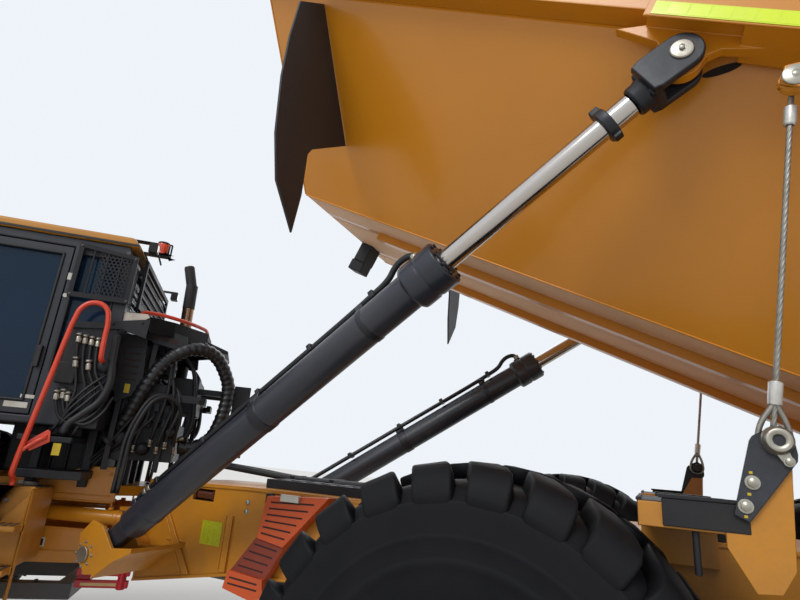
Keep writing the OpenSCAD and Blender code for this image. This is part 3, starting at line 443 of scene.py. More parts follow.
# Tailgate ropes: six-strand galvanised wire ropes, pressed in a ferrule over a thimble at the pin, and held taut
# by the tailgate's arms as the bed rises.
wire = layered("wire_rope", (150, 146, 138), (96, 90, 82), rough=0.36, metallic=0.8, blotch=30,
               amount=0.5, grit=260)
eye = (rear.inverted() @ gate) @ Vector((-0.549, 0, 3.169))
strand_depth, rope_lay, rope_steps = 0.18, 0.16, 150
for side, hand in (("left", 1), ("right", -1)):
    low_end, high_end = Vector((-1.01, hand * 1.53, 2.045)), Vector((eye.x, hand * 1.6486, eye.z - 0.02))
    run = high_end - low_end
    place = facing(low_end, run)
    cut = bmesh.new()
    bmesh.ops.create_circle(cut, segments=36, radius=0.0085, cap_ends=False)
    for v in cut.verts:
        v.co *= 1 + strand_depth * abs(math.cos(3 * math.atan2(v.co.y, v.co.x)))
    bmesh.ops.spin(cut, geom=list(cut.verts) + list(cut.edges), cent=(0, 0, 0), axis=(0, 0, 1),
                   dvec=(0, 0, run.length / rope_steps), angle=hand * math.tau * run.length / rope_lay,
                   steps=rope_steps, use_merge=False, use_duplicate=False)
    bmesh.ops.holes_fill(cut, edges=[e for e in cut.edges if e.is_boundary], sides=0)
    rope = fit("gate_rope_" + side, cut, rear @ place, wire, "rear_frame")
    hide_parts("gate_ropes")
    route = [rear @ low_end.lerp(high_end, t / 15) for t in range(16)]
    cut = bmesh.new()
    lathed(cut, [(0.013, 0.075), (0.021, 0.079), (0.022, 0.15), (0.013, 0.156)], place, 24)
    lathed(cut, [(0.013, run.length - 0.13), (0.021, run.length - 0.125), (0.021, run.length - 0.06),
                 (0.013, run.length - 0.055)], place, 24)
    ferrule = fit("rope_ferrules_" + side, cut, rear,
                  layered("pressed_ferrule_" + side, (206, 204, 198), (150, 146, 138), rough=0.34, metallic=0.6,
                          blotch=20, amount=0.5), "rear_frame")
    thimble = hose("rope_thimble_" + side, [tuple(low_end + run.normalized() * 0.09), (-1.052, hand * 1.532, 2.03),
                                            (-1.046, hand * 1.532, 1.98), (-1.008, hand * 1.532, 1.958),
                                            (-0.97, hand * 1.532, 1.98), (-0.966, hand * 1.532, 2.03),
                                            tuple(low_end + run.normalized() * 0.09)], 0.0095, rear, wire,
                   "rear_frame")

# Bogie beams, axles and propshafts: cast and welded steel in dull grey, oily round the hubs and joints. Each hub and
# each gear case is closed by a ring of bolts.
hub_height, hub_face = 0.937, 1.0785
dress("bogie_beams", grey_steel, 0.008)
dress("rear_axles", grey_steel, 0.008)
dress("propshafts", grey_steel, 0.003)
cut = bmesh.new()
for x in (0.0, -1.94):
    bolt_circle(cut, (x, hub_face, hub_height), (0, 1, 0), 0.168, 16, 0.013)
    bolt_circle(cut, (x + 0.31, 0, hub_height), (1, 0, 0), 0.085, 10, 0.011)
for x in (0.12, -0.54, -1.4, -2.06):
    hex_bolt(cut, (x, 0.68, 0.98), (0, 1, 0), 0.022)
lathed(cut, [(0, 0.012), (0.1, 0.012), (0.12, 0.004), (0.12, -0.02), (0, -0.02)],
       facing((-0.97, 0.77, 1.13), (0, 1, 0)), 36)
bolt_circle(cut, (-0.97, 0.782, 1.13), (0, 1, 0), 0.08, 8, 0.011)
fit("axle_bolts", cut, rear, grey_steel, "rear_frame", both=True)
cut = bmesh.new()
for x in (-1.6, -0.34, 0.34, 2.92):
    lathed(cut, [(0.0605, -0.035), (0.085, -0.03), (0.088, -0.008), (0.07, 0), (0.088, 0.008), (0.085, 0.03),
                 (0.0605, 0.035)], facing((x, 0, hub_height), (1, 0, 0)), 28)
fit("shaft_joints", cut, rear, grey_steel, "rear_frame")

# ---- Hoist cylinders
# Two long single-stage hydraulic cylinders raise the bed. Each has a honed steel tube in dark grey paint with a
# bolted gland ring, a spherical bearing in its base eye between two plates of the frame, and pressure pipes clipped
# along its back. The chromed rod ends in a black forged fork that is pinned to the bed's lug.
barrel_paint = layered("barrel_paint", (36, 40, 50), (70, 69, 70), rough=0.36, blotch=1.3, amount=0.42, coat=0.15)
fork_paint = layered("fork_paint", (19, 22, 30), (46, 46, 50), rough=0.4, blotch=5, amount=0.45)
pipe_paint = layered("pipe_paint", (20, 22, 27), (52, 52, 52), rough=0.4, blotch=8, amount=0.4)
chrome = layered("chrome_rod", (200, 194, 188), (160, 146, 130), rough=0.17, metallic=1.0, blotch=2.4, amount=0.35,
                 grit=90, lift=0.0001)
heading, tilt = math.radians(168.95), math.radians(56.69)
hoist = Matrix.Translation(hoist_base) @ Matrix.Rotation(heading, 4, "Z") @ Matrix.Rotation(tilt, 4, "Y")
square_up = Matrix.Rotation(-heading, 4, "Z")
pin_x, pin_z, pin_radius = -0.845, 3.564, 0.0395
for side, hand in (("left", 1), ("right", -1)):
    fork_side = rear @ Matrix.Diagonal((1, hand, 1, 1))
    along = fork_side @ hoist
    dress("hoist_ball_" + side, zinc, 0)
    # Tube: neck over the base cap, weld band, bore and gland ring
    cut = bmesh.new()
    lathed(cut, [(0, 0.062), (0.05, 0.062), (0.05, 0.385), (0.088, 0.392), (0.097, 0.405), (0.1, 0.42), (0.1, 0.6),
                 (0.1035, 0.603), (0.1035, 0.622), (0.1, 0.625), (0.1, 2.925), (0.112, 2.93), (0.124, 2.942),
                 (0.126, 2.955), (0.126, 3.03), (0.121, 3.034), (0.121, 3.05), (0.126, 3.054), (0.126, 3.148),
                 (0.121, 3.158), (0.075, 3.16), (0.062, 3.152), (0.057, 3.14), (0.0565, 2.97), (0.078, 2.96),
                 (0.078, 0.43), (0, 0.43)], sides=56)
    lathed(cut, [(0.0625, -0.046), (0.066, -0.05), (0.078, -0.05), (0.082, -0.046), (0.082, 0.046), (0.078, 0.05),
                 (0.066, 0.05), (0.0625, 0.046), (0.0625, -0.046)],
           square_up @ Matrix.Rotation(math.pi / 2, 4, "X"), 40)
    # Cheeks that run from the eye into the base cap
    before = set(cut.verts)
    block(cut, -0.05, 0.05, -0.046, 0.046, 0.06, 0.2, 0.012)
    block(cut, -0.07, 0.07, -0.05, 0.05, 0.17, 0.4, 0.02)
    moved(cut, before, square_up)
    # Port blocks and pipe saddles on the back
    for box in ((-0.135, -0.085, -0.035, 0.035, 0.44, 0.5, 0.006), (-0.13, -0.115, -0.03, 0.03, 2.99, 3.05, 0.004),
                (-0.125, -0.092, 0.02, 0.075, 0.52, 0.57, 0.005), (-0.118, -0.092, -0.045, 0.045, 1.7, 1.78, 0.005),
                (-0.118, -0.092, -0.045, 0.045, 2.6, 2.65, 0.005)):
        block(cut, *box)
    barrel = fit("hoist_tube_" + side, cut, along, barrel_paint, "hoist_barrel_" + side)
    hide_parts("hoist_barrel_" + side)
    # Gland bolts, the bands that hold the pipe saddles, and the wiper
    cut = bmesh.new()
    bolt_circle(cut, (0, 0, 3.158), (0, 0, 1), 0.103, 10, 0.0125, first=0.5, washer=False)
    lathed(cut, [(0.1005, 1.705), (0.1045, 1.71), (0.1045, 1.77), (0.1005, 1.775)], sides=48)
    lathed(cut, [(0.1005, 2.605), (0.1035, 2.61), (0.1035, 2.64), (0.1005, 2.645)], sides=48)
    for z in (1.72, 1.76):
        hex_bolt(cut, (-0.118, 0, z), (-1, 0, 0), 0.009)
    lathed(cut, [(0.0555, 3.158), (0.072, 3.159), (0.07, 3.168), (0.0555, 3.17)], sides=40)
    fit("gland_bolts_" + side, cut, along, fork_paint, "hoist_barrel_" + side)
    hose("hoist_pipe_%s_rod_end" % side, [(-0.11, 0, 0.47), (-0.136, 0, 0.5), (-0.141, 0, 0.58), (-0.141, 0, 1.7),
                                          (-0.141, 0, 2.74), (-0.152, 0, 2.84), (-0.184, 0, 2.91), (-0.19, 0, 2.97),
                                          (-0.168, 0, 3.02), (-0.125, 0, 3.03)], 0.0185, along, pipe_paint,
         "hoist_barrel_" + side)
    hose("hoist_pipe_%s_base_end" % side, [(-0.105, 0.055, 0.54), (-0.128, 0.056, 0.56), (-0.131, 0.052, 0.64),
                                           (-0.131, 0.05, 1.7), (-0.131, 0.05, 2.5), (-0.126, 0.045, 2.62),
                                           (-0.105, 0.03, 2.66)], 0.012, along, pipe_paint, "hoist_barrel_" + side)
    cut = bmesh.new()
    for z in (0.7, 1.2, 1.74, 2.2, 2.7):
        block(cut, -0.164, -0.118, -0.026, 0.072, z, z + 0.034, 0.006)
    fit("pipe_clips_" + side, cut, along, fork_paint, "hoist_barrel_" + side)
    cut = bmesh.new()
    for z in (0.455, 0.5):
        lathed(cut, [(0.0185, -0.014), (0.026, -0.012), (0.026, 0.012), (0.0185, 0.014)],
               Matrix.Translation((-0.139, 0, z + 0.12)), 6)
    lathed(cut, [(0.019, -0.02), (0.027, -0.018), (0.027, 0.018), (0.019, 0.02)],
           facing((-0.142, 0, 3.03), (1, 0, 0)), 6)
    fit("pipe_unions_" + side, cut, along, zinc, "hoist_barrel_" + side)
    # Rod, and the fork on its end with a split clamp ring below it
    cut = bmesh.new()
    lathed(cut, [(0, 1.458), (0.055, 1.46), (0.055, 4.25), (0, 4.25)], sides=56)
    rod = fit("hoist_rod_shaft_" + side, cut, along, chrome, "hoist_rod_" + side)
    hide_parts("hoist_rod_" + side)
    cut = bmesh.new()
    lathed(cut, [(0.0552, 4.258), (0.066, 4.262), (0.07, 4.27), (0.07, 4.3), (0.078, 4.318), (0.08, 4.345),
                 (0.0552, 4.35)], sides=48)
    lathed(cut, [(0.0552, 4.1), (0.074, 4.103), (0.079, 4.108), (0.079, 4.144), (0.074, 4.149),
                 (0.0552, 4.152)], sides=40)
    block(cut, -0.108, -0.062, -0.026, 0.026, 4.102, 4.15, 0.007)
    block(cut, 0.062, 0.094, -0.02, 0.02, 4.106, 4.146, 0.006)
    block(cut, -0.082, 0.082, -0.07, 0.07, 4.316, 4.375, 0.018)
    # Cheeks of the fork, round about the pin and square towards the rod
    before = set(cut.verts)
    reach = Vector((0.831, 0.556))
    for y0, y1 in ((1.422, 1.461), (1.559, 1.598)):
        face = []
        for a in range(17):
            turn = math.pi / 2 + a * math.pi / 16
            x, z = 0.087 * math.sin(turn - math.pi / 2), 0.087 * math.cos(turn - math.pi / 2)
            face.append((pin_x - reach.x * x + reach.y * z, pin_z + reach.y * x + reach.x * z))
        for back, wide in ((0.15, -0.087), (0.185, -0.075), (0.185, 0.075), (0.15, 0.087)):
            face.append((pin_x + reach.x * back + reach.y * wide, pin_z - reach.y * back + reach.x * wide))
        flame_cut(cut, face, y0, y1, 0.008)
    moved(cut, before, hoist.inverted())
    fork = fit("rod_fork_" + side, cut, along, fork_paint, "hoist_rod_" + side)
    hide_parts("hoist_rod_" + side)
    cut = bmesh.new()
    for y, way in ((1.598, 1), (1.422, -1)):
        lathed(cut, [(0, 0.012), (0.008, 0.012), (0.012, 0.009), (0.04, 0.009), (0.047, 0.006), (0.048, -0.004),
                     (0, -0.004)], facing((pin_x, y, pin_z), (0, way, 0)), 40)
        hex_bolt(cut, (pin_x, y + way * 0.007, pin_z), (0, way, 0), 0.015)
    round_bar(cut, (pin_x, 1.43, pin_z), (pin_x, 1.59, pin_z), pin_radius)
    fit("rod_pin_" + side, cut, fork_side, zinc, "hoist_rod_" + side)

# Steering cylinders: two short double-acting cylinders low between the frame's lugs and the tractor, painted with
# the machine, with bright rods, screwed gland rings and a hose fitting at each end.
gold = layered("golden_machine_paint", (202, 132, 22), (148, 98, 42), rough=0.36, blotch=0.9, amount=0.4, coat=0.22)
steer_height = 1.288
for side, hand in (("left", 1), ("right", -1)):
    dress("steer_barrel_" + side, gold, 0.004)
    dress("steer_rod_" + side, chrome, 0.003)
    tip = Vector((hitch_x + 1.25 * math.cos(steer_angle) - hand * 0.25 * math.sin(steer_angle),
                  1.25 * math.sin(steer_angle) + hand * 0.25 * math.cos(steer_angle), steer_height))
    lug = Vector((2.89, hand * 0.56, steer_height))
    line = rear @ facing(lug, tip - lug)
    cut = bmesh.new()
    lathed(cut, [(0.0375, 1.062), (0.042, 1.063), (0.056, 1.058), (0.058, 1.05), (0.058, 1.0),
                 (0.0505, 0.995)], sides=40)
    for z in (0.13, 0.99):
        lathed(cut, [(0.0495, -0.018), (0.055, -0.014), (0.055, 0.014), (0.0495, 0.018)],
               Matrix.Translation((0, 0, z - 0.03)), 40)
    for z in (0.16, 0.94):
        round_bar(cut, (0, 0.045, z), (0, 0.07, z), 0.02, sides=6)
    fit("steer_gland_" + side, cut, line, gold, "steer_barrel_" + side)
    cut = bmesh.new()
    for end in (0.035, -0.035):
        lathed(cut, [(0, 0.004), (0.03, 0.004), (0.034, 0.0), (0, 0.0)],
               facing(tip + Vector((0, 0, end)), (0, 0, end)), 24)
    fit("steer_pin_" + side, cut, rear, zinc, "steer_rod_" + side)

# ---- Bed
# An open tipping body welded from wear plate: a flat floor, flared sides, a sloped headboard and a floor that turns
# up at the rear. Its outside is machine yellow, the floor inside is worn bright, and the underside is dusty and
# painted pale, as painted light bounced up from the floor.
bed_paint = layered("bed_paint", (206, 132, 20), (170, 106, 34), rough=0.33, blotch=0.5, amount=0.34, coat=0.3)
# Underside paint: dust plus painted light, a pale tone that stands in for light bounced up from the floor.
belly = layered("belly_dust_and_painted_bounce_light", (246, 202, 160), (208, 176, 146), rough=0.6, blotch=1.1, amount=0.7, grit=35)
worn_steel = layered("worn_wear_plate", (142, 128, 112), (98, 80, 62), rough=0.45, metallic=0.6, blotch=1.4,
                     amount=0.65, grit=50, stretch=(0.3, 1, 1))
dress("bed_shell", bed_paint, 0.005)
floor_half, floor_level = 0.7, 1.868


def side_y(z):
    """Half width of the bed's outer side at a height, with the bed down."""
    return floor_half + (z - floor_level) * 0.73 / 1.102


cut = bmesh.new()
# Skin of the underside between and beside the runners, on the flat and on the rear slope
for y0, y1 in ((0.0, 0.326), (0.414, 0.69)):
    for x0, x1 in ((-1.595, 2.14), (-1.89, -1.605)):
        block(cut, x0, x1, y0, y1, 1.8655, 1.8677)
before = set(cut.verts)
block(cut, 0.02, 1.66, 0.0, 0.69, -0.0015, -0.0003)
moved(cut, before, Matrix.Translation((-1.9, 0, floor_level)) @ Matrix.Rotation(math.radians(19.25), 4, "Y")
      @ Matrix.Diagonal((-1, 1, 1, 1)))
fit("bed_belly", cut, bed, belly, "bed", both=True, smooth=False)
cut = bmesh.new()
# Weld beads: along the lower corners, up the headboard's corners, and round the hinge lugs and the runners
round_bar(cut, (-1.89, 0.701, 1.869), (2.15, 0.701, 1.869), 0.006, sides=8)
round_bar(cut, (2.158, 0.702, 1.872), (2.732, side_y(3.054), 3.054), 0.006, sides=8)
round_bar(cut, (-1.9, 0.702, 1.87), (-3.47, side_y(2.42), 2.422), 0.006, sides=8)
for y in (0.328, 0.412):
    round_bar(cut, (-1.59, y, 1.8665), (1.59, y, 1.8665), 0.005, sides=8)
for y in (0.463, 0.527):
    round_bar(cut, (-2.41, y, 1.905), (-2.19, y, 1.905), 0.006, sides=8)
fit("bed_welds", cut, bed, bed_paint, "bed", both=True)
cut = bmesh.new()
block(cut, -1.86, 2.06, 0.0, 0.62, 1.9135, 1.9155)
fit("bed_floor_wear", cut, bed, worn_steel, "bed", both=True, smooth=False)
cut = bmesh.new()
# Heavy ribs across the headboard's outside
for s in (0.25, 0.5, 0.75):
    x, z = 2.156 + 0.579 * s, floor_level + 1.192 * s
    before = set(cut.verts)
    block(cut, -0.03, 0.0, -side_y(z) + 0.09, side_y(z) - 0.09, -0.05, 0.05, 0.008)
    moved(cut, before, Matrix.Translation((x, 0, z)) @ Matrix.Rotation(math.radians(25.9), 4, "Y"))
fit("headboard_ribs", cut, bed, bed_paint, "bed")

# Top rails and hoist lugs: folded channel round the top of the bed, wider over the rear, with a thick lug let into
# it on each side for the rod's pin, flared into the rail by gusset plates and drilled with a long lightening slot.
dress("bed_rails", bed_paint, 0.005)
cut = bmesh.new()
pin = (rear.inverted() @ bed).inverted() @ Vector((pin_x, 1.51, pin_z))
# Bushing collars of the lug, just inside the fork's cheeks
for y0, y1 in ((1.475, 1.4848), (1.5352, 1.545)):
    lathed(cut, [(0.0402, 0), (0.075, 0), (0.078, 0.003), (0.078, y1 - y0), (0.0402, y1 - y0), (0.0402, 0)],
           facing((pin.x, y0, pin.z), (0, 1, 0)), 36)
for x in (-2.7, -2.3, -1.5, -1.1, -0.6, 0.4, 0.9, 1.4, 1.9, 2.4):
    hex_bolt(cut, (x, 1.5451 if x > 0.05 else 1.6501, 3.04), (0, 1, 0), 0.012)
for x0, x1, y, z, radius in ((0.06, 2.73, 1.545, 2.988, 0.005), (-2.94, 0.04, 1.6495, 2.868, 0.005),
                             (-2.94, 0.04, 1.6495, 3.097, 0.004)):
    round_bar(cut, (x0, y, z), (x1, y, z), radius, sides=8)
lathed(cut, [(0.0405, 0.0), (0.06, 0.0), (0.066, -0.006), (0.066, -0.02)],
       facing((-1.95, 1.739, 2.97), (0, 1, 0)), 36)
fit("rail_fittings", cut, bed, bed_paint, "bed", both=True)
# The slot: a long oval laid on the flared wall, its length along the lug
slot_x, slot_z, half_length, half_width = -0.289, 2.8725, 0.074, 0.0155
slot_run, slot_rise, flare = 0.919, 0.395, 0.66243
cut = bmesh.new()
spots = []
for a in (math.radians(15 * k) for k in range(24)):
    along_slot, across_slot = half_length * math.cos(a), half_width * math.sin(a)
    spots.append((slot_x - slot_run * along_slot + slot_rise * across_slot,
                  slot_z + slot_rise * along_slot + slot_run * across_slot))
face = cut.faces.new([cut.verts.new((x, floor_half + (z - floor_level) * flare - 0.002, z)) for x, z in spots])
out = bmesh.ops.extrude_face_region(cut, geom=[face])["geom"]
bmesh.ops.translate(cut, vec=(0, 0.0042, -0.002), verts=[v for v in out if isinstance(v, bmesh.types.BMVert)])
fit("lug_slot", cut, bed, layered("shadowed_slot", (30, 24, 20), (60, 46, 34), rough=0.9, blotch=12), "bed",
    both=True, smooth=False)

# Reflective tape: prismatic strip in bright yellow-green, stuck along each rail in two runs and marked off in
# square cells.
cell_pitch, cell_length = 0.082, 0.074
bright_tape = layered("bright_tape", (214, 238, 0), (190, 206, 10), rough=0.28, blotch=6, amount=0.35, coat=0.35)
dress("rail_tape", bright_tape, 0)
cut = bmesh.new()
for x0, x1 in ((-2.88, -2.06), (-1.84, 0.0)):
    for s in range(int((x1 - x0) / cell_pitch)):
        block(cut, x0 + cell_pitch * s, x0 + cell_pitch * s + cell_length, 1.6531, 1.6537, 2.881, 2.934)
fit("tape_cells", cut, bed, layered("tape_cells", (222, 244, 4), (200, 218, 14), rough=0.22, blotch=14, amount=0.4,
                                    coat=0.5), "bed", both=True, smooth=False)

# Flaps ahead of the rear wheels: thick black rubber sheet that hangs down to the wheels, held to the bed's sides by
# steel strips with a row of bolts.
flap_rubber = layered("flap_rubber", (27, 28, 35), (58, 54, 52), rough=0.5, blotch=1.2, amount=0.5, grit=40,
                      lift=0.002, stretch=(1, 1, 0.4))
dress("bed_flaps", flap_rubber, 0.002)
cut = bmesh.new()
for a, b in (((1.178, 1.43, 4.655), (1.178, 1.15, 4.175)), ((1.178, 1.135, 4.15), (1.178, 0.985, 3.93))):
    a, b = Vector(a), Vector(b)
    before = set(cut.verts)
    block(cut, -0.024, 0.024, -0.0035, 0.0035, 0, (b - a).length, 0.002)
    for s in range(max(2, int((b - a).length / 0.11))):
        hex_bolt(cut, (0, 0.0035, 0.04 + 0.105 * s), (0, 1, 0), 0.009)
    laid = (b - a).to_track_quat("Z", "X").to_matrix().to_4x4()
    moved(cut, before, Matrix.Translation(a + Vector((0, 0.022, -0.012))) @ laid)
fit("flap_strips", cut, rear, black_steel, "bed", both=True)

# Rubber stop and corner clamps: small black castings under the floor's front and on the headboard's corners, each
# held by bolts.
dress("bed_brackets", black_steel, 0.006)
cut = bmesh.new()
for x in (2.04, 2.1):
    for y in (-0.31, -0.21):
        round_bar(cut, (x, y, 1.7), (x, y, 1.6925), 0.012, sides=6)
block(cut, 2.025, 2.135, -0.315, -0.205, 1.604, 1.6065, 0.001)
fit("stop_fittings", cut, bed, grey_steel, "bed")
cut = bmesh.new()
for x, z in ((2.33, 2.03), (2.33, 2.09), (2.38, 2.06)):
    hex_bolt(cut, (x, 0.72, z), (0, 1, 0), 0.011)
fit("clamp_bolts", cut, bed, zinc, "bed", both=True)

# ---- Tailgate
# A scooped rear door welded from plate, hung on two long arms that pivot on the rails. As the bed rises, the wire
# ropes hold the arms' front ends down and so swing the door up and open.
dress("tailgate", bed_paint, 0.005)
arm_face = 1.7225
cut = bmesh.new()
for x, z, r in ((-1.95, 2.97, 0.04), (-0.549, 3.169, 0.026)):
    lathed(cut, [(0, 0.012), (r * 0.5, 0.012), (r * 0.6, 0.007), (r * 1.5, 0.006), (r * 1.6, 0.0),
                 (r * 1.6, -0.002), (0, -0.002)], facing((x, arm_face, z), (0, 1, 0)), 32)
for x, z in ((-2.06, 3.03), (-1.84, 3.03), (-2.06, 2.93), (-1.84, 2.93), (-0.62, 3.19), (-0.66, 3.15)):
    hex_bolt(cut, (x, 1.722, z), (0, 1, 0), 0.013)
fit("gate_fittings", cut, gate, zinc, "tailgate", both=True)
cut = bmesh.new()
for x0, z0, x1, z1 in ((-0.62, 3.211, -1.84, 3.078), (-0.6, 3.118, -1.83, 2.872), (-2.07, 2.872, -3.2, 3.1)):
    round_bar(cut, (x0, arm_face, z0), (x1, arm_face, z1), 0.005, sides=8)
fit("gate_welds", cut, gate, bed_paint, "tailgate", both=True)
cut = bmesh.new()
for y in (-0.75, -0.25, 0.25, 0.75):
    flame_cut(cut, [(-3.2, 3.11), (-3.622, 2.5), (-3.6, 2.5), (-3.18, 3.11)], y - 0.02, y + 0.02, 0.003)
fit("gate_ribs", cut, gate, bed_paint, "tailgate")

# ---- Tractor frame
# The front half of the machine: two deep side plates joined by a forked yoke that holds the hitch pin, welded from
# thick plate and painted with the rest. A window in each side plate shows the steering cylinder.
dress("tractor_frame", gold, 0.006)


def bead_round(cut, line, y, radius, sides):
    """A bead of round section along a closed line in x and z."""
    for a, b in zip(line, line[1:] + line[:1]):
        round_bar(cut, (a[0], y, a[1]), (b[0], y, b[1]), radius, sides=sides)


cut = bmesh.new()
# Doubled rim round the window, bolts along the plate, and weld beads above, below and at the yoke's neck
bead_y = 0.461
bead_round(cut, [(0.3, 1.2), (0.3, 1.376), (0.86, 1.39), (1.01, 1.376), (1.01, 1.2), (0.42, 1.18)],
           bead_y, 0.008, 8)
for u in (0.35, 0.75, 1.15, 1.6, 3.0, 3.4):
    hex_bolt(cut, (u, 0.46, 1.455 if u > 0.5 else 1.58), (0, 1, 0), 0.016)
for u0, z0, u1, z1, radius in ((0.32, 1.425, 1.44, 1.425, 0.005), (0.32, 1.03, 1.44, 1.03, 0.005),
                               (0.54, 1.6, 0.79, 1.515, 0.006)):
    round_bar(cut, (u0, bead_y, z0), (u1, bead_y, z1), radius, sides=8)
fit("yoke_welds", cut, tractor, gold, "tractor", both=True)
yoke_top = 1.5
cut = bmesh.new()
lathed(cut, [(0, 0.03), (0.03, 0.03), (0.035, 0.022), (0.085, 0.02), (0.09, 0.012), (0.09, 0), (0, 0)],
       Matrix.Translation((0, 0, yoke_top)), 40)
bolt_circle(cut, (0, 0, yoke_top), (0, 0, 1), 0.14, 6, 0.017)
for v in (0.3, -0.3):
    for u in (0.5, 0.75, 0.95):
        hex_bolt(cut, (u, v, yoke_top), (0, 0, 1), 0.015)
fit("hitch_cap", cut, tractor, grey_steel, "tractor")
cut = bmesh.new()
# Blank plates riveted to the yoke
block(cut, 0.815, 0.965, 0.4605, 0.4635, 1.437, 1.497, 0.001)
block(cut, 0.69, 0.81, 0.4605, 0.4625, 1.055, 1.115, 0.001)
fit("blank_plates", cut, tractor, pale_plate, "tractor", both=True)
cut = bmesh.new()
for s in range(3):
    block(cut, 0.70 + 0.036 * s, 0.728 + 0.036 * s, 0.4626, 0.4632, 1.062, 1.108)
block(cut, 0.845, 1.03, 0.4605, 0.4622, 1.06, 1.075)
fit("plate_slots", cut, tractor, shadow_slot, "tractor", both=True, smooth=False)

# Articulation lock: a red steel bar with pale inserts, swung out and pinned when the machine is shipped or serviced.
# It rests along the yoke on a hinge bolt.
lock_red = layered("lock_red", (188, 14, 34), (122, 40, 44), rough=0.38, blotch=4, amount=0.4, coat=0.2)
dress("articulation_lock", lock_red, 0.006)
cut = bmesh.new()
for z in (0.895, 0.815):
    block(cut, 0.14, 0.38, 0.5152, 0.5182, z, z + 0.02, 0.001)
hex_bolt(cut, (0.37, 0.515, 0.905), (0, 1, 0), 0.015)
lathed(cut, [(0, 0.02), (0.02, 0.02), (0.04, 0.008), (0.042, 0.0), (0, 0)],
       Matrix.Translation((0.11, 0.495, 0.94)), 24)
fit("lock_inserts", cut, tractor, layered("lock_insert", (206, 178, 120), (150, 110, 80), rough=0.5, blotch=8),
    "tractor")

# Front axle: a cast housing on a welded carrying frame in dull grey, hung under the tractor by two gas struts, with
# the same bolted hubs as the rear axles.
dress("front_axle", grey_steel, 0.008)
cut = bmesh.new()
front_axle_x = 2.1
bolt_circle(cut, (front_axle_x, hub_face, hub_height), (0, 1, 0), 0.168, 16, 0.013)
lathed(cut, [(0.0455, -0.02), (0.058, -0.015), (0.058, 0.06), (0.0455, 0.065)],
       Matrix.Translation((front_axle_x, 0.44, 1.12)), 28)
for u in (0.7, 1.1, 1.5, 1.9):
    hex_bolt(cut, (u, 0.385, 0.81), (0, 0, 1), 0.016)
fit("front_axle_fittings", cut, tractor, grey_steel, "tractor", both=True)

# Engine and radiator: plain castings at their real place under the hood, with six valve covers in a row and the
# radiator's fins only hinted at.
dress("engine_block", grey_steel, 0.01)
cut = bmesh.new()
for k in range(6):
    block(cut, 2.36 + 0.18 * k, 2.5 + 0.18 * k, -0.3, 0.3, 2.1501, 2.18, 0.01)
for s in range(14):
    block(cut, 3.741, 3.744, -0.4, 0.4, 1.44 + 0.045 * s, 1.455 + 0.045 * s)
fit("engine_covers", cut, tractor, black_steel, "tractor", smooth=False)

# ---- Hood and front
# A one-piece tilting hood in yellow over the engine, with louvres and latches on its sides, a black grille before
# the radiator, and a deep steel bumper bolted to the frame.
dress("hood", gold, 0.012)
cut = bmesh.new()
for i in range(4):
    for k in range(5):
        u, z = 2.503 + 0.18 * i, 1.88 + 0.055 * k
        flame_cut(cut, [(u, z), (2.617 + 0.18 * i, z), (2.617 + 0.18 * i, 1.895 + 0.055 * k),
                        (u, 1.895 + 0.055 * k)], 0.52, 0.556)
fit("hood_louvres", cut, tractor, black_steel, "hood", both=True, smooth=False)
cut = bmesh.new()
for u in (2.3, 3.3, 3.8):
    hex_bolt(cut, (u, 0.56, 1.6), (0, 1, 0), 0.012)
block(cut, 2.9, 3.0, 0.5601, 0.575, 1.62, 1.66, 0.004)
fit("hood_latches", cut, tractor, black_steel, "hood", both=True)
dress("grille", black_steel, 0.003)
cut = bmesh.new()
for k in range(26):
    block(cut, 3.862, 3.868, -0.41 + 0.033 * k, -0.404 + 0.033 * k, 1.6, 2.05)
fit("grille_bars", cut, tractor, black_steel, "tractor", smooth=False)
dress("bumper", black_steel, 0.012)
cut = bmesh.new()
for v in (-1.1, -0.6, 0.6, 1.1):
    hex_bolt(cut, (4.0 if abs(v) > 1 else 4.081, v, 1.3), (1, 0, 0), 0.018)
for s in range(10):
    block(cut, 3.8, 3.97, -0.95 + 0.21 * s, -0.85 + 0.21 * s, 1.4301, 1.4325)
fit("bumper_fittings", cut, tractor, grey_steel, "tractor")

# Fenders: pressed sheet in dustier yellow over the front wheels, bolted down along both ends, with raised grip
# strips to stand on.
fender_top = layered("fender_paint", (186, 126, 38), (128, 92, 58), rough=0.42, blotch=1.5, amount=0.5)
dress("fenders", fender_top, 0.004)
cut = bmesh.new()
for u in (1.28, 2.92):
    for v in (0.95, 1.2, 1.4, 1.6):
        hex_bolt(cut, (u, v, 1.955 if u < 2 else 1.953), (0, 0, 1), 0.012)
for s in range(11):
    block(cut, 1.4 + 0.13 * s, 1.48 + 0.13 * s, 0.92, 1.1, 1.9551, 1.958)
fit("fender_grips", cut, tractor, fender_top, "tractor", both=True)

# Mirrors: two silvered glasses, one above the other, in a black housing on each side, carried on a bent tube
# from the cab's upper front corner.
dress("mirrors", black_steel, 0.004)
cut = bmesh.new()
block(cut, 2.2785, 2.2798, 1.285, 1.505, 2.62, 2.93)
block(cut, 2.2785, 2.2798, 1.285, 1.505, 2.96, 3.13)
mirror_glass = layered("mirror_face", (150, 156, 162), (110, 114, 118), rough=0.06, metallic=1.0, blotch=9,
                       amount=0.3, lift=0.0001)
fit("mirror_faces", cut, tractor, mirror_glass, "tractor", both=True, smooth=False)

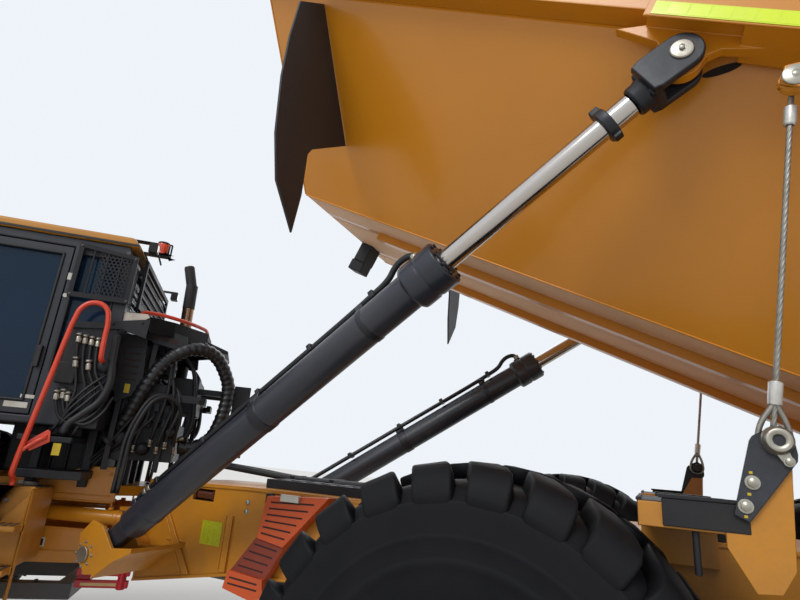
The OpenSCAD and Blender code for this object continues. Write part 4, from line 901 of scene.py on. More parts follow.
# Side tanks: welded boxes in dusty yellow under the cab, with a turned filler cap and dark step treads bolted to
# their outer faces.
tank_paint = layered("tank_paint", (190, 126, 30), (134, 94, 50), rough=0.42, blotch=1.8, amount=0.5)
dress("side_tanks", tank_paint, 0.014)
cut = bmesh.new()
for v in (0.62, 0.78):
    block(cut, 0.7, 1.06, v, v + 0.03, 1.4801, 1.4835, 0.001)
lathed(cut, [(0, 0.035), (0.04, 0.035), (0.05, 0.028), (0.052, 0.0), (0, 0)],
       Matrix.Translation((0.8, 0.72, 1.48)), 28)
for i in range(3):
    for k in range(7):
        block(cut, 0.74 + 0.042 * k, 0.758 + 0.042 * k, 0.912, 1.042, 0.7401 + 0.26 * i, 0.744 + 0.26 * i)
for z in (1.1, 1.4):
    hex_bolt(cut, (0.86, 0.9, z), (0, 1, 0), 0.012)
fit("tank_fittings", cut, tractor, grey_steel, "tractor", both=True)

# ---- Cab
# A welded steel cab in dark paint with a yellow roof, glass in black rubber seals whose blue tint is partly a
# painted reflection of the sky, a door hung on two pins, and a suspended seat at a steering wheel. Perforated guards
# cover the rear and quarter windows.
cab_paint = layered("cab_paint", (26, 30, 39), (60, 60, 62), rough=0.4, blotch=1.6, amount=0.35)
roof_paint = layered("roof_paint", (196, 134, 44), (150, 112, 66), rough=0.36, blotch=1.2, amount=0.4, coat=0.2)
dress("cab_shell", cab_paint, 0.012)
dress("cab_door", cab_paint, 0.006)
dress("cab_roof", roof_paint, 0.025)
glass_tint_and_sky = bpy.data.materials.new("glass_tint_and_painted_sky")
glass_tint_and_sky.use_nodes = True
glass_skin = glass_tint_and_sky.node_tree.nodes["Principled BSDF"]
# The glass's blue base colour is a tint plus a painted reflection of the sky.
glass_skin.inputs["Base Color"].default_value = tone(40, 70, 100)
glass_skin.inputs["Roughness"].default_value = 0.03
glass_skin.inputs["Transmission Weight"].default_value = 0.62
glass_skin.inputs["IOR"].default_value = 1.3
dust, dust_at, dust_band = (glass_tint_and_sky.node_tree.nodes.new(k)
                            for k in ("ShaderNodeTexNoise", "ShaderNodeTexCoord", "ShaderNodeMapRange"))
dust.inputs["Scale"].default_value, dust.inputs["Detail"].default_value = 5.0, 8.0
dust_band.inputs["To Min"].default_value, dust_band.inputs["To Max"].default_value = 0.01, 0.16
glass_tint_and_sky.node_tree.links.new(dust_at.outputs["Object"], dust.inputs["Vector"])
glass_tint_and_sky.node_tree.links.new(dust.outputs["Fac"], dust_band.inputs["Value"])
glass_tint_and_sky.node_tree.links.new(dust_band.outputs[0], glass_skin.inputs["Roughness"])
dress("cab_glass", glass_tint_and_sky, 0)
dress("door_glass", glass_tint_and_sky, 0)
seal_radius = 0.011
cut = bmesh.new()
# Rubber seals round the quarter windows, and the roof's drip edge
bead_round(cut, [(0.552, 2.292), (0.848, 2.292), (0.848, 3.208), (0.552, 3.208)], 0.821, seal_radius, 10)
block(cut, 0.45, 2.1, 0.8405, 0.846, 3.333, 3.352, 0.002)
fit("window_seals", cut, tractor, rubber_hose, "tractor", both=True)
cut = bmesh.new()
bead_round(cut, [(0.965, 2.06), (0.965, 3.19), (1.88, 3.19), (1.925, 2.9), (1.925, 2.06)], 0.8145, seal_radius, 10)
block(cut, 0.925, 0.955, 0.8145, 0.845, 2.3, 2.46, 0.005)
fit("door_seal", cut, tractor, rubber_hose, "cab_door")
cut = bmesh.new()
block(cut, 0.865, 0.985, 0.8145, 0.8165, 2.075, 2.1, 0.0005)
block(cut, 0.925, 1.075, 0.8142, 0.816, 2.005, 2.045, 0.0005)
fit("door_blank_plates", cut, tractor, pale_plate, "cab_door", smooth=False)
cut = bmesh.new()
block(cut, 0.862, 0.898, 0.8203, 0.8225, 2.985, 3.04, 0.0005)
round_bar(cut, (0.88, 0.8203, 2.86), (0.88, 0.8225, 2.86), 0.016, sides=28)
fit("cab_blank_plates", cut, tractor, pale_plate, "tractor", smooth=False)

# Seat and controls: a black cloth seat, foam-filled, on a suspension base, a console with the column, and a
# steering wheel with a moulded rubber rim.
seat_cloth = layered("seat_cloth", (40, 41, 46), (70, 68, 66), rough=0.85, blotch=7, amount=0.5,
                     grit=300, lift=0.0006)
dress("cab_seat", black_steel, 0.02)
cut = bmesh.new()
block(cut, 1.03, 1.46, -0.25, 0.25, 2.4005, 2.47, 0.03)
cushion = fit("seat_cushion", cut, tractor, seat_cloth, "tractor")
cut = bmesh.new()
block(cut, 1.0102, 1.08, -0.22, 0.22, 2.49, 3.03, 0.03)
backrest = fit("seat_back", cut, tractor, seat_cloth, "tractor")
cut = bmesh.new()
wheel_at = Matrix.Translation((1.69, 0, 2.65)) @ Matrix.Rotation(math.radians(-43), 4, "Y")
grip = 0.016
ring = [(0.205 + grip * math.cos(t), 0.035 + grip * math.sin(t)) for t in (k * math.tau / 12 for k in range(13))]
lathed(cut, ring, wheel_at, 40)
block(cut, 1.875, 2.04, -0.3, 0.3, 2.4805, 2.54, 0.01)
fit("wheel_rim", cut, tractor, rubber_hose, "tractor")

# Window guards: steel frames with hexagon-perforated sheet before the rear and quarter windows, bolted to black
# brackets on the cab.
dress("window_guards", black_steel, 0.002)


def perforated(cut, width, height, pitch, hole, thick):
    """A sheet in x and z, perforated with hexagons in staggered rows, as a net of rings that share their sides."""
    rows, step = int(height / (pitch * 0.866)), pitch * 0.866
    corners = [math.radians(30 + 60 * k) for k in range(6)]
    for r in range(rows):
        for c in range(int(width / pitch) - (r % 2)):
            cx, cz = pitch * (c + 0.5 + 0.5 * (r % 2)), step * (r + 0.5)
            outer, inner = ([cut.verts.new((cx + reach * math.cos(a), 0, cz + reach * math.sin(a)))
                             for a in corners] for reach in (pitch * 0.577, hole))
            for k in range(6):
                cut.faces.new((outer[k], outer[(k + 1) % 6], inner[(k + 1) % 6], inner[k]))
    bmesh.ops.remove_doubles(cut, verts=list(cut.verts), dist=0.0006)
    out = bmesh.ops.extrude_face_region(cut, geom=list(cut.faces))["geom"]
    bmesh.ops.translate(cut, vec=(0, thick, 0), verts=[v for v in out if isinstance(v, bmesh.types.BMVert)])


mesh_pitch, mesh_hole, mesh_thick = 0.03, 0.0115, 0.002
cut = bmesh.new()
perforated(cut, 0.25, 0.34, mesh_pitch, mesh_hole, mesh_thick)
moved(cut, set(), Matrix.Translation((0.463, 0.851, 2.893)))
fit("side_mesh", cut, tractor, black_steel, "tractor", both=True, smooth=False)
cut = bmesh.new()
perforated(cut, 1.2, 0.33, mesh_pitch, mesh_hole, mesh_thick)
moved(cut, set(), Matrix.Translation((0.4175, -0.6, 2.921)) @ Matrix.Rotation(math.pi / 2, 4, "Z"))
fit("rear_mesh", cut, tractor, black_steel, "tractor", smooth=False)
cut = bmesh.new()
for u, z in ((0.447, 2.87), (0.447, 3.22), (0.842, 2.87), (0.842, 3.265)):
    hex_bolt(cut, (u, 0.86, z), (0, 1, 0), 0.009)
for u in (0.5, 0.8):
    block(cut, u, u + 0.03, 0.8205, 0.842, 3.25, 3.28, 0.002)
fit("guard_bolts", cut, tractor, grey_steel, "tractor", both=True)

# Lamps: round headlamps and roof lamps with domed clear lenses in black housings, work lamps on the roof's rear
# edge, and an orange-red ribbed beacon in a black cage of bent rod.
lens_white = layered("lamp_lens", (214, 214, 206), (170, 168, 158), rough=0.16, blotch=18, amount=0.4, coat=0.6)
dress("lamps", black_steel, 0.004)
cut = bmesh.new()
for z in (1.53, 1.67):
    lathed(cut, [(0, 0.008), (0.03, 0.0072), (0.05, 0.004), (0.054, 0), (0, 0)],
           facing((4.0301, 0.78, z), (1, 0, 0)), 36)
lathed(cut, [(0, 0.006), (0.02, 0.0055), (0.034, 0.0)], facing((2.2001, 0.62, 3.371), (1, 0, 0)), 28)
block(cut, 0.3265, 0.3298, 0.705, 0.775, 3.338, 3.402, 0.0015)
fit("lamp_lenses", cut, tractor, lens_white, "tractor", both=True)
beacon_glow = layered("beacon_lens", (232, 70, 30), (190, 60, 34), rough=0.18, blotch=16, amount=0.4, coat=0.6)
cut = bmesh.new()
beacon_x, beacon_y = 0.35, 0.45
lathed(cut, [(0, 0.0), (0.0515, 0.0), (0.053, 0.01), (0.053, 0.02), (0.0505, 0.03), (0.0515, 0.1), (0.046, 0.116),
             (0.03, 0.1245), (0, 0.1255)], Matrix.Translation((beacon_x, beacon_y, 3.4175)), 40)
for a in range(20):
    turn = a * math.tau / 20
    foot_end, top_end = ((beacon_x + r * math.cos(turn), beacon_y + r * math.sin(turn), z)
                         for r, z in ((0.051, 3.452), (0.0505, 3.51)))
    round_bar(cut, foot_end, top_end, 0.0028, sides=6)
fit("beacon_lens", cut, tractor, beacon_glow, "tractor")
cut = bmesh.new()
block(cut, 0.28, 0.42, 0.38, 0.52, 3.4175, 3.424, 0.002)
for a, b in (((0.29, 0.392, 3.42), (0.29, 0.392, 3.55)), ((0.41, 0.392, 3.42), (0.41, 0.392, 3.55)),
             ((0.29, 0.392, 3.55), (0.41, 0.392, 3.55)), ((0.29, 0.508, 3.42), (0.29, 0.508, 3.5)),
             ((0.33, 0.69, 3.345), (0.33, 0.5, 3.32)), ((0.42, 0.76, 3.32), (0.42, 0.5, 3.3))):
    round_bar(cut, a, b, 0.0075, sides=10)
fit("beacon_bracket", cut, tractor, black_steel, "tractor")

# Exhaust stack: a bent steel pipe, polished bronze by heat below and sooty black above, with a sleeve round its tip
# and a band clamp at its foot.
stack_metal = layered("heat_tinted_steel", (150, 122, 96), (84, 74, 68), rough=0.22, metallic=0.9,
                      blotch=3, amount=0.6)
soot = layered("sooty_black", (26, 26, 29), (60, 56, 54), rough=0.6, blotch=7, amount=0.5)
dress("exhaust_stack", stack_metal, 0.003)
cut = bmesh.new()
stack_run = Vector((0.015, 0, 0.41)).normalized()
lathed(cut, [(0.0525, 0.19), (0.0545, 0.2), (0.0545, 0.42), (0.0525, 0.425)],
       facing((0.095, 0, 2.89), stack_run), 36)
lathed(cut, [(0.0455, 0.0), (0.0475, 0.004), (0.0475, 0.2), (0.0435, 0.212), (0.038, 0.212), (0.038, 0.05),
             (0.0, 0.05)], facing((0.11, 0, 3.295), (0.06, 0, 0.205)), 36)
lathed(cut, [(0.0625, -0.01), (0.067, -0.008), (0.067, 0.02), (0.0625, 0.022)],
       Matrix.Translation((0.095, 0, 2.85)), 36)
block(cut, 0.155, 0.185, -0.014, 0.014, 2.842, 2.87, 0.003)
fit("stack_shields", cut, tractor, soot, "tractor")

# Handrails: bent round tube in orange-red paint beside the ladders and round the deck, welded to short stays and
# to a bolted lug.
rail_paint = layered("rail_paint", (224, 70, 40), (168, 70, 50), rough=0.36, blotch=3, amount=0.35, coat=0.2)
half_rail = [(0.34, 0.715, 2.781), (0.338, 0.713, 2.83), (0.3, 0.69, 2.842), (0.09, 0.588, 2.842),
             (-0.11, 0.32, 2.842), (-0.12, 0.28, 2.842)]
rails = [hose("deck_rail", half_rail + [(-0.12, 0.0, 2.842)] + [(u, -v, z) for u, v, z in reversed(half_rail)],
              0.0155, tractor, rail_paint, "tractor", rounds=4)]
for side, points in sides([(0.86, 0.88, 1.481), (0.86, 0.89, 1.53), (0.86, 0.945, 1.575), (0.856, 0.95, 1.62),
                           (0.83, 0.95, 1.86), (0.79, 0.95, 2.2), (0.752, 0.95, 2.54), (0.735, 0.95, 2.66),
                           (0.7, 0.95, 2.765), (0.62, 0.95, 2.806), (0.545, 0.95, 2.775), (0.515, 0.95, 2.69),
                           (0.508, 0.95, 2.56), (0.502, 0.95, 2.43), (0.5, 0.935, 2.395), (0.5, 0.88, 2.39),
                           (0.5, 0.8205, 2.39)]):
    rails.append(hose("ladder_rail_" + side, points, 0.0185, tractor, rail_paint, "tractor", rounds=4))
for side, points in sides([(0.84, 0.95, 1.72), (0.79, 0.95, 1.765), (0.735, 0.95, 1.808), (0.722, 0.94, 1.815),
                           (0.72, 0.926, 1.815)]):
    rails.append(hose("rail_stay_" + side, points, 0.0135, tractor, rail_paint, "tractor", rounds=4))
cut = bmesh.new()
flame_cut(cut, [(0.80, 1.72), (0.69, 1.79), (0.7, 1.86), (0.72, 1.87), (0.83, 1.78)], 0.9265, 0.9345, 0.002)
hex_bolt(cut, (0.72, 0.9345, 1.83), (0, 1, 0), 0.011)
rails.append(fit("rail_lug", cut, tractor, rail_paint, "tractor", both=True))
for rail in rails:
    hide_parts("handrails")

# ---- Machinery behind the cab
# A valve bank, gearbox and filters on a welded black rack under a small deck, fed by a thick spiral-wrapped
# conduit and many rubber hoses with crimped zinc ends. The deck's top is a pale worn sheet.
machine_black = layered("machinery_black", (19, 22, 28), (60, 57, 54), rough=0.45, blotch=3.2,
                        amount=0.5, shine=0.35)
dress("rear_machinery", machine_black, 0.006)


def swept(cut, points, radius, sides=12, step=0.03, pitch=0.0, depth=0.0):
    """A hose through its points, with a spiral guard wound round it if a pitch is given."""
    knots = [Vector(p) for p in points]
    knots = [knots[0] * 2 - knots[1]] + knots + [knots[-1] * 2 - knots[-2]]
    fine = []
    for a, b, c, d in zip(knots, knots[1:], knots[2:], knots[3:]):
        for k in range(24):
            t = k / 24
            bend = (2 * a - 5 * b + 4 * c - d) * t * t
            fine.append(0.5 * (2 * b + (c - a) * t + bend + (3 * b - a - 3 * c + d) * t ** 3))
    fine.append(knots[-2])
    line, run = [fine[0]], 0.0
    for p, q in zip(fine, fine[1:]):
        run += (q - p).length
        if run >= step:
            line.append(q)
            run = 0.0
    line[-1] = fine[-1]
    rings, aside, gone = [], None, 0.0
    for i, p in enumerate(line):
        ahead = (line[min(i + 1, len(line) - 1)] - line[max(i - 1, 0)]).normalized()
        aside = (ahead.orthogonal() if aside is None else aside - ahead * aside.dot(ahead)).normalized()
        third = ahead.cross(aside)
        ring = []
        for k in range(sides):
            a = k * math.tau / sides
            bulge = depth * max(0.0, math.cos(a - gone * math.tau / pitch)) ** 0.5 if pitch else 0.0
            ring.append(cut.verts.new(p + (aside * math.cos(a) + third * math.sin(a)) * (radius + bulge)))
        rings.append(ring)
        if i + 1 < len(line):
            gone += (line[i + 1] - p).length
    for a, b in zip(rings, rings[1:]):
        for k in range(sides):
            cut.faces.new((a[k], a[(k + 1) % sides], b[(k + 1) % sides], b[k]))
    cut.faces.new(rings[0])
    cut.faces.new(rings[-1])


def crimped(cut, at, toward, r):
    """A hose end: crimped sleeve, hexagon nut and nipple."""
    before = set(cut.verts)
    lathed(cut, [(0, -r * 3), (r * 1.12, -r * 3), (r * 1.25, -r * 2.6), (r * 1.25, -r * 0.3), (r * 0.8, 0),
                 (r * 0.8, r * 0.4), (0, r * 0.4)], sides=14)
    bmesh.ops.create_cone(cut, cap_ends=True, segments=6, radius1=r * 1.5, radius2=r * 1.5, depth=r * 1.1,
                          matrix=Matrix.Translation((0, 0, r * 0.9)))
    moved(cut, before, facing(at, toward))


deck_steel = layered("worn_deck_sheet", (214, 206, 194), (150, 132, 112), rough=0.42, blotch=4, amount=0.6, grit=90)
cut = bmesh.new()
# The sheet is cut to the deck's plan, drawn upright and then laid down
flame_cut(cut, [(0.387, 0.776), (0.387, -0.776), (0.102, -0.617), (-0.147, -0.328), (-0.147, 0.328),
                (0.102, 0.617)], 2.7803, 2.7835)
moved(cut, set(), Matrix.Rotation(math.pi / 2, 4, "X"))
fit("deck_sheet", cut, tractor, deck_steel, "tractor", smooth=False)
cut = bmesh.new()
# Upstand round the deck's edge
rim = [(0.39, 0.78), (0.1, 0.62), (-0.15, 0.33), (-0.15, -0.33), (0.1, -0.62), (0.39, -0.78)]
skyward = Vector((0, 0, 1))
for a, b in zip(rim, rim[1:]):
    a, b = Vector((a[0], a[1], 2.70)), Vector((b[0], b[1], 2.70))
    before = set(cut.verts)
    block(cut, -0.003, 0.003, -0.02, 0.105, 0, (b - a).length, 0.001)
    axes = Matrix((skyward.cross(b - a).normalized(), skyward, (b - a).normalized())).transposed()
    moved(cut, before, Matrix.Translation(a) @ axes.to_4x4())
# Rack: posts, rails and gussets of folded strip, hung from the deck
for x0, x1, y0, y1, z0, z1 in ((0.195, 0.235, 0.545, 0.585, 2.17, 2.742), (0.43, 0.47, 0.58, 0.62, 2.2, 2.66),
                               (-0.24, 0.42, 0.555, 0.575, 2.17, 2.23), (-0.24, -0.2, 0.33, 0.575, 2.17, 2.23),
                               (0.37, 0.41, 0.55, 0.6, 1.62, 2.2), (-0.14, -0.1, 0.3, 0.34, 1.62, 2.1),
                               (-0.59, -0.45, 0.1, 0.3, 1.775, 2.38), (-0.45, -0.15, 0.17, 0.22, 2.28, 2.33),
                               (0.02, 0.06, 0.5, 0.53, 1.62, 2.14), (0.1, 0.36, 0.585, 0.6, 2.64, 2.74),
                               (0.56, 0.78, 0.72, 0.735, 1.84, 1.9)):
    block(cut, x0, x1, y0, y1, z0, z1, 0.004)
flame_cut(cut, [(0.5, 2.67), (0.28, 2.66), (0.24, 2.22), (0.42, 2.12), (0.46, 2.3)], 0.6, 0.612, 0.003)
flame_cut(cut, [(0.26, 2.762), (-0.02, 2.7), (-0.03, 2.6), (0.02, 2.58), (0.24, 2.62)], 0.6, 0.61, 0.003)
for u, z in ((0.24, 2.64), (0.2, 2.2), (-0.2, 2.2), (0.1, 2.2), (0.45, 2.6), (0.45, 2.3), (0.3, 2.69),
             (0.16, 2.69)):
    hex_bolt(cut, (u, 0.585 if z < 2.5 and u < 0.3 else 0.612, z), (0, 1, 0), 0.011)
# Filters, solenoids and covers on the valve bank's side
for u, z, r in ((0.33, 1.86, 0.06), (0.16, 1.79, 0.045), (-0.02, 1.93, 0.04)):
    lathed(cut, [(0, 0.09), (r * 0.6, 0.09), (r * 0.66, 0.08), (r, 0.075), (r, 0.01), (r * 1.1, 0.005),
                 (r * 1.1, -0.02)], facing((u, 0.5, z), (0, 1, 0)), 24)
for k in range(7):
    block(cut, -0.04 + 0.058 * k, 0.0 + 0.058 * k, 0.5, 0.545, 1.955, 2.03, 0.006)
    round_bar(cut, (-0.02 + 0.058 * k, 0.522, 2.03), (-0.02 + 0.058 * k, 0.522, 2.085), 0.014, sides=14, edge=0.003)
for k in range(5):
    block(cut, 0.09 + 0.055 * k, 0.128 + 0.055 * k, 0.54, 0.575, 2.08, 2.14, 0.005)
lathed(cut, [(0, 0.3), (0.06, 0.3), (0.075, 0.28), (0.075, 0.02), (0.06, 0.0), (0, 0.0)],
       Matrix.Translation((0.31, 0.47, 2.32)), 28)
lathed(cut, [(0, 0.26), (0.04, 0.26), (0.055, 0.24), (0.055, 0.02), (0.04, 0.0), (0, 0.0)],
       Matrix.Translation((0.1, 0.46, 2.35)), 28)
# Bracket along the cab's rear quarter that carries the side hoses, its hose box and accumulator
flame_cut(cut, [(0.8, 2.655), (0.58, 2.69), (0.25, 2.757), (0.25, 2.6), (0.43, 2.65), (0.8, 2.612)],
          0.8402, 0.852, 0.003)
flame_cut(cut, [(0.78, 2.63), (0.46, 2.65), (0.46, 2.33), (0.52, 2.21), (0.78, 2.24)], 0.822, 0.838, 0.004)
block(cut, 0.66, 0.79, 0.838, 0.875, 2.2, 2.36, 0.012)
lathed(cut, [(0, 0.2), (0.03, 0.2), (0.05, 0.185), (0.052, 0.17), (0.052, 0.02), (0.045, 0.0), (0, 0.0)],
       facing((0.487, 0.68, 2.36), (0, 1, 0)), 28)
for u, z in ((0.77, 2.636), (0.5, 2.685), (0.3, 2.72)):
    hex_bolt(cut, (u, 0.852, z), (0, 1, 0), 0.011)
# Gearbox housing on the frame under the cab, ribbed
block(cut, 0.42, 1.12, 0.04, 0.4, 1.56, 1.94, 0.02)
for k in range(6):
    block(cut, 0.47 + 0.11 * k, 0.49 + 0.11 * k, 0.38, 0.43, 1.58, 1.92, 0.006)
fit("rack", cut, tractor, machine_black, "tractor", both=True)
cut = bmesh.new()
flame_cut(cut, [(0.586, 2.79), (0.284, 2.804), (0.262, 2.78), (0.3, 2.752), (0.52, 2.71)], 0.8, 0.806, 0.002)
fit("deck_flange", cut, tractor, deck_steel, "tractor", both=True)
cut = bmesh.new()
# Vent slots in the two folded cover plates
for s in range(3):
    block(cut, 0.05 + 0.07 * s, 0.1 + 0.07 * s, 0.6102, 0.6112, 2.625 + 0.012 * s, 2.67 + 0.012 * s)
for s in range(6):
    low_z, high_z = 2.3 + 0.052 * s, 2.312 + 0.052 * s
    flame_cut(cut, [(0.3, low_z), (0.44, low_z), (0.44, high_z), (0.3, high_z)], 0.6122, 0.6132)
fit("rack_slots", cut, tractor, shadow_slot, "tractor", both=True, smooth=False)
cut = bmesh.new()
block(cut, 0.33, 0.37, 0.6122, 0.614, 2.2, 2.27, 0.0005)
block(cut, 0.615, 0.665, 0.9252, 0.927, 1.705, 1.785, 0.0005)
fit("yellow_tags", cut, tractor, layered("yellow_tag", (206, 178, 30), (160, 130, 50), rough=0.5, blotch=12),
    "tractor", smooth=False)

# Thick conduit: hoses and cables bundled in a black spiral guard, arching from the platform over to the hitch and
# held by steel straps.
guard_wrap = layered("spiral_guard", (19, 20, 24), (70, 69, 68), rough=0.36, blotch=5, amount=0.4, coat=0.1)
cut = bmesh.new()
swept(cut, [(0.5, 0.3, 1.62), (0.47, 0.36, 1.72), (0.4, 0.45, 1.88), (0.31, 0.55, 2.04), (0.23, 0.61, 2.24),
            (0.13, 0.61, 2.45), (-0.01, 0.59, 2.585), (-0.15, 0.55, 2.62), (-0.27, 0.48, 2.575),
            (-0.36, 0.41, 2.45), (-0.4, 0.37, 2.32), (-0.385, 0.36, 2.1), (-0.33, 0.355, 1.93),
            (-0.22, 0.355, 1.84), (-0.08, 0.355, 1.82)], 0.052, sides=18, step=0.008, pitch=0.05, depth=0.006)
conduit = fit("spiral_conduit", cut, tractor, guard_wrap, "tractor")
cut = bmesh.new()
for w, h in ((0.0, 0.0), (0.05, 0.012), (0.1, -0.01)):
    swept(cut, [(-0.1, 0.45 - w, 2.63 + h), (-0.2, 0.42 - w, 2.61 + h), (-0.31, 0.36 - w, 2.5 + h),
                (-0.37, 0.32 - w, 2.33), (-0.36, 0.3 - w, 2.1), (-0.3, 0.28 - w, 1.93),
                (-0.16, 0.26 - w, 1.86)], 0.019)
lower = fit("conduit_hoses", cut, tractor, rubber_hose, "tractor")
cut = bmesh.new()
for u, v, z, way in ((-0.155, 0.535, 2.63, (-1, -0.3, -0.1)), (-0.4, 0.37, 2.34, (0, 0, -1)),
                     (0.23, 0.61, 2.24, (-0.4, 0, 1)), (0.4, 0.6, 1.83, (-0.7, 0, 1))):
    lathed(cut, [(0.0535, -0.012), (0.057, -0.01), (0.057, 0.01), (0.0535, 0.012)], facing((u, v, z), way), 28)
fit("conduit_straps", cut, tractor, machine_black, "tractor")

# Hoses: black rubber pressure lines with zinc-plated crimped ends, looped from the valve bank to the cab's side and
# down to the frame.
cut, ends = bmesh.new(), bmesh.new()
# Two that run beside the conduit
for v in (0.345, 0.39):
    swept(cut, [(0.15, v, 2.66), (0.06, v, 2.61), (-0.05, v, 2.52), (-0.11, v, 2.4), (-0.15, v, 2.15),
                (-0.155, v, 2.0), (-0.12, v, 1.91), (-0.061, v, 1.88)], 0.017)
    crimped(ends, (-0.075, v, 1.885), (1, 0, -0.3), 0.015)
# The thick one on the cab's side
swept(cut, [(0.45, 0.86, 2.6), (0.445, 0.87, 2.53), (0.435, 0.87, 2.38), (0.42, 0.87, 2.24), (0.458, 0.87, 2.1),
            (0.553, 0.87, 1.995), (0.625, 0.87, 1.915), (0.64, 0.87, 1.833)], 0.028, step=0.02)
# Five that rise from the valve bank
for k, (u, z) in enumerate(((0.0, 1.84), (0.055, 1.8), (0.11, 1.85), (0.22, 1.8), (0.27, 1.84))):
    lift = 0.12 * (k % 3)
    swept(cut, [(u, 0.55, z), (u - 0.02, 0.585, z + 0.1), (u - 0.06, 0.6 - 0.01 * k, z + 0.26 + lift / 2),
                (u - 0.02, 0.56, z + 0.42 + lift), (u + 0.07, 0.5, z + 0.46 + lift),
                (u + 0.13, 0.44, z + 0.5 + lift)], 0.0125, sides=10)
    crimped(ends, (u, 0.546, z - 0.02), (0, -0.35, -1), 0.013)
# Four that hang from the bracket, three that loop below them, three short ones and three to the gearbox
for k in range(4):
    u, z = 0.705 - 0.045 * k, 2.575 - 0.006 * k
    swept(cut, [(u, 0.85, z), (u - 0.012, 0.862, z - 0.12), (u - 0.04, 0.868, z - 0.26),
                (u - 0.07 - 0.02 * k, 0.864, z - 0.42), (u - 0.04, 0.86, z - 0.58), (u + 0.02, 0.85, z - 0.72)],
          0.0115, sides=10)
    crimped(ends, (u - 0.002, 0.8525, z - 0.02), (0.1, -0.1, 1), 0.016)
    if k % 2 == 0:
        crimped(ends, (u - 0.025, 0.867, z - 0.2), (0.14, 0, 1), 0.017)
for k, (u, z) in enumerate(((0.752, 2.165), (0.712, 2.178), (0.678, 2.162))):
    swept(cut, [(u, 0.85, z), (u - 0.012, 0.862, z - 0.09), (u - 0.06, 0.872, z - 0.2),
                (u - 0.16, 0.876, z - 0.235), (u - 0.25, 0.86, z - 0.15), (u - 0.29, 0.82, z - 0.02)],
          0.0105, sides=10)
    crimped(ends, (u - 0.004, 0.856, z - 0.04), (0.1, -0.1, 1), 0.016)
for k in range(3):
    swept(cut, [(0.42, 0.79, 2.34 - 0.05 * k), (0.47, 0.86, 2.28 - 0.05 * k), (0.55, 0.89, 2.19 - 0.06 * k),
                (0.635, 0.885, 2.07 - 0.05 * k), (0.676, 0.87, 1.95 - 0.02 * k)], 0.009, sides=8)
for k in range(3):
    swept(cut, [(0.1 + 0.07 * k, 0.51, 2.12), (0.13 + 0.07 * k, 0.575, 2.02), (0.2 + 0.06 * k, 0.59, 1.93),
                (0.3 + 0.05 * k, 0.57, 1.8), (0.42 + 0.03 * k, 0.52, 1.72), (0.5 + 0.03 * k, 0.5, 1.62)],
          0.0115, sides=10)
bundle = fit("machinery_hoses", cut, tractor, rubber_hose, "tractor", both=True)
for part in (conduit, lower, bundle):
    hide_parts("rear_hoses")
# Two pairs of hoses that arch over to the hoist cylinders' bases, of the same rubber.
for side, hand in (("left", 1), ("right", -1)):
    for n, (shift, top) in enumerate(((0.0, 0.0), (-0.06, -0.012))):
        cut = bmesh.new()
        route = ((0.008 + shift, 0.47, 1.79), (0.012 + shift * 1.1, 0.5, 1.87), (-0.01 + shift, 0.56, 2.02),
                 (-0.01 + shift * 0.8, 0.62, 2.15 + top), (0.06 + shift * 0.5, 0.67, 2.205 + top),
                 (0.15 + shift * 0.4, 0.71, 2.16 + top), (0.217 + shift * 0.45, 0.74, 2.0),
                 (0.252 + shift * 0.5, 0.75, 1.84), (0.256 + shift * 0.55, 0.75, 1.63),
                 (0.26 + shift * 0.5, 0.75, 1.47))
        swept(cut, [(u, hand * v, z) for u, v, z in route], 0.0155, step=0.02)
        arch = fit("hoist_hose_%s_%d" % (side, n), cut, tractor, rubber_hose, None)
        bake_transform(arch)
for shift in (0.0, -0.06):
    crimped(ends, (0.008 + shift, 0.468, 1.77), (0, -0.2, -1), 0.018)
fit("hose_ends", ends, tractor, zinc, "tractor", both=True)

# ---- Wheels and tyres
# Six earthmover tyres, moulded in one piece: a round carcass with deep wide lugs that wrap over the shoulder, and
# plain sidewalls with ring ridges. They sit on three-piece steel rims in the machine's yellow, bolted to the hubs.
tyre_rubber = layered("tyre_rubber", (9, 11, 15), (34, 33, 34), rough=0.62, blotch=3.2, amount=0.5, grit=60,
                      lift=0.0008, shine=0.2)
rim_paint = layered("rim_paint", (188, 126, 34), (120, 96, 66), rough=0.45, blotch=4, amount=0.5)
tread = bmesh.new()
half = [(0.3255, 0.286), (0.375, 0.3), (0.39, 0.316), (0.42, 0.321), (0.53, 0.342), (0.56, 0.35), (0.572, 0.358),
        (0.592, 0.359), (0.604, 0.353), (0.65, 0.362), (0.66, 0.369), (0.672, 0.369), (0.682, 0.366),
        (0.74, 0.3725), (0.782, 0.3742), (0.79, 0.371), (0.796, 0.356), (0.822, 0.336), (0.845, 0.305),
        (0.858, 0.26), (0.864, 0.2), (0.866, 0.1)]
spindle = Matrix.Rotation(-math.pi / 2, 4, "X")
lathed(tread, half + [(r, -y) for r, y in reversed(half)] + [half[0]], spindle, 96)
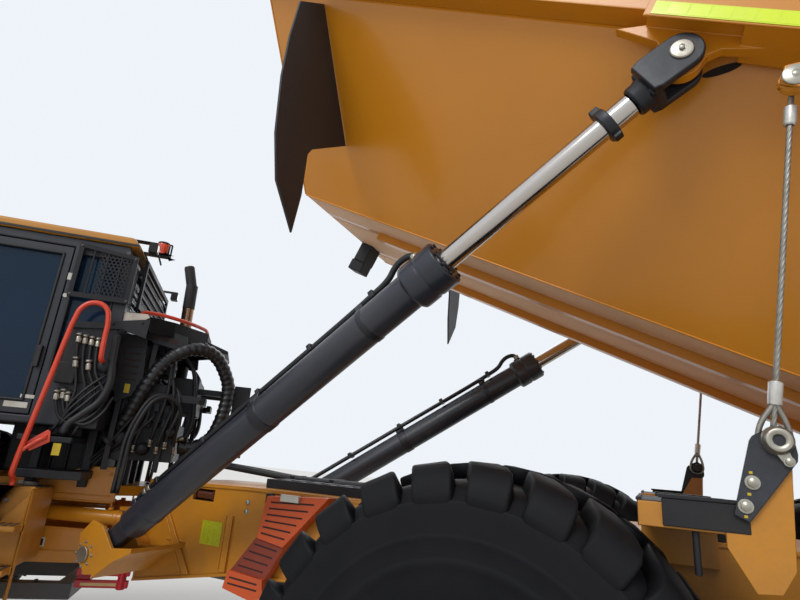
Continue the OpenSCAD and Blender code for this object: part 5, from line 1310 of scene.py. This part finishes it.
# One lug, by its outer and inner line and its turn and half width at each station
outer = [(0.936, 0.018), (0.9366, 0.13), (0.933, 0.235), (0.922, 0.3), (0.895, 0.343), (0.855, 0.366),
         (0.815, 0.3742), (0.781, 0.3746)]
inner = [(0.86, 0.018), (0.86, 0.13), (0.852, 0.225), (0.838, 0.27), (0.82, 0.3), (0.8, 0.325), (0.78, 0.34),
         (0.766, 0.35)]
turns = [0.128, 0.098, 0.05, 0.02, 0.004, 0.0, 0.0, 0.0]
widths = [0.06, 0.072, 0.084, 0.089, 0.091, 0.092, 0.093, 0.094]
root_spread, lugs_a_row = 1.16, 24
for row in (1, -1):
    for n in range(lugs_a_row):
        start = (n + (0.25 if row > 0 else 0.75)) * math.tau / lugs_a_row
        rings = []
        for (ro, yo), (ri, yi), t, w in zip(outer, inner, turns, widths):
            ring = []
            for r, y, reach in ((ro, yo, w), (ro, yo, -w), (ri, yi, -w * root_spread), (ri, yi, w * root_spread)):
                turn = start + t + reach
                ring.append(tread.verts.new((r * math.sin(turn), row * y, r * math.cos(turn))))
            rings.append(ring)
        tread.faces.new(rings[0])
        tread.faces.new(rings[-1])
        rim_edges = []
        for a, b in zip(rings, rings[1:]):
            for k in range(4):
                tread.faces.new((a[k], a[(k + 1) % 4], b[(k + 1) % 4], b[k]))
            rim_edges += [tread.edges.get((a[0], b[0])), tread.edges.get((a[1], b[1]))]
        rim_edges += [tread.edges.get((rings[0][0], rings[0][1]))]
        bmesh.ops.bevel(tread, geom=rim_edges, offset=0.011, segments=2, profile=0.5, affect="EDGES", material=-1)
# Wheel bolts, hub cap with its bolts, lock ring and valve
rim_cut = bmesh.new()
bolt_circle(rim_cut, (0, 0.221, 0), (0, 1, 0), 0.17, 20, 0.013)
lathed(rim_cut, [(0, 0.292), (0.09, 0.29), (0.11, 0.284), (0.15, 0.281), (0.152, 0.24)], spindle, 40)
bolt_circle(rim_cut, (0, 0.283, 0), (0, 1, 0), 0.125, 8, 0.01)
lathed(rim_cut, [(0.301, 0.2855), (0.3248, 0.2855), (0.3248, 0.27), (0.306, 0.262), (0.2995, 0.262)], spindle, 64)
round_bar(rim_cut, (0.29, 0.235, 0), (0.29, 0.28, 0), 0.007, sides=10)
half_track, rolled = 1.318, 0.07
for place, base, x in (("front", tractor, front_axle_x), ("mid", rear, 0.0), ("rear", rear, -1.94)):
    for side, hand in (("left", 1), ("right", -1)):
        wheel = base @ Matrix.Translation((x, hand * half_track, hub_height)) @ Matrix.Rotation(rolled, 4, "Y")
        body = "wheel_%s_%s" % (place, side)
        tyre = fit("tyre_tread_%s_%s" % (place, side), tread.copy(), wheel, tyre_rubber, body)
        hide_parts("tyre_%s_%s" % (place, side))
        dress("rim_%s_%s" % (place, side), rim_paint, 0.003)
        fit("rim_bolts_%s_%s" % (place, side), rim_cut.copy(), wheel @ Matrix.Diagonal((1, hand, 1, 1)), rim_paint,
            body)
tread.free()
rim_cut.free()
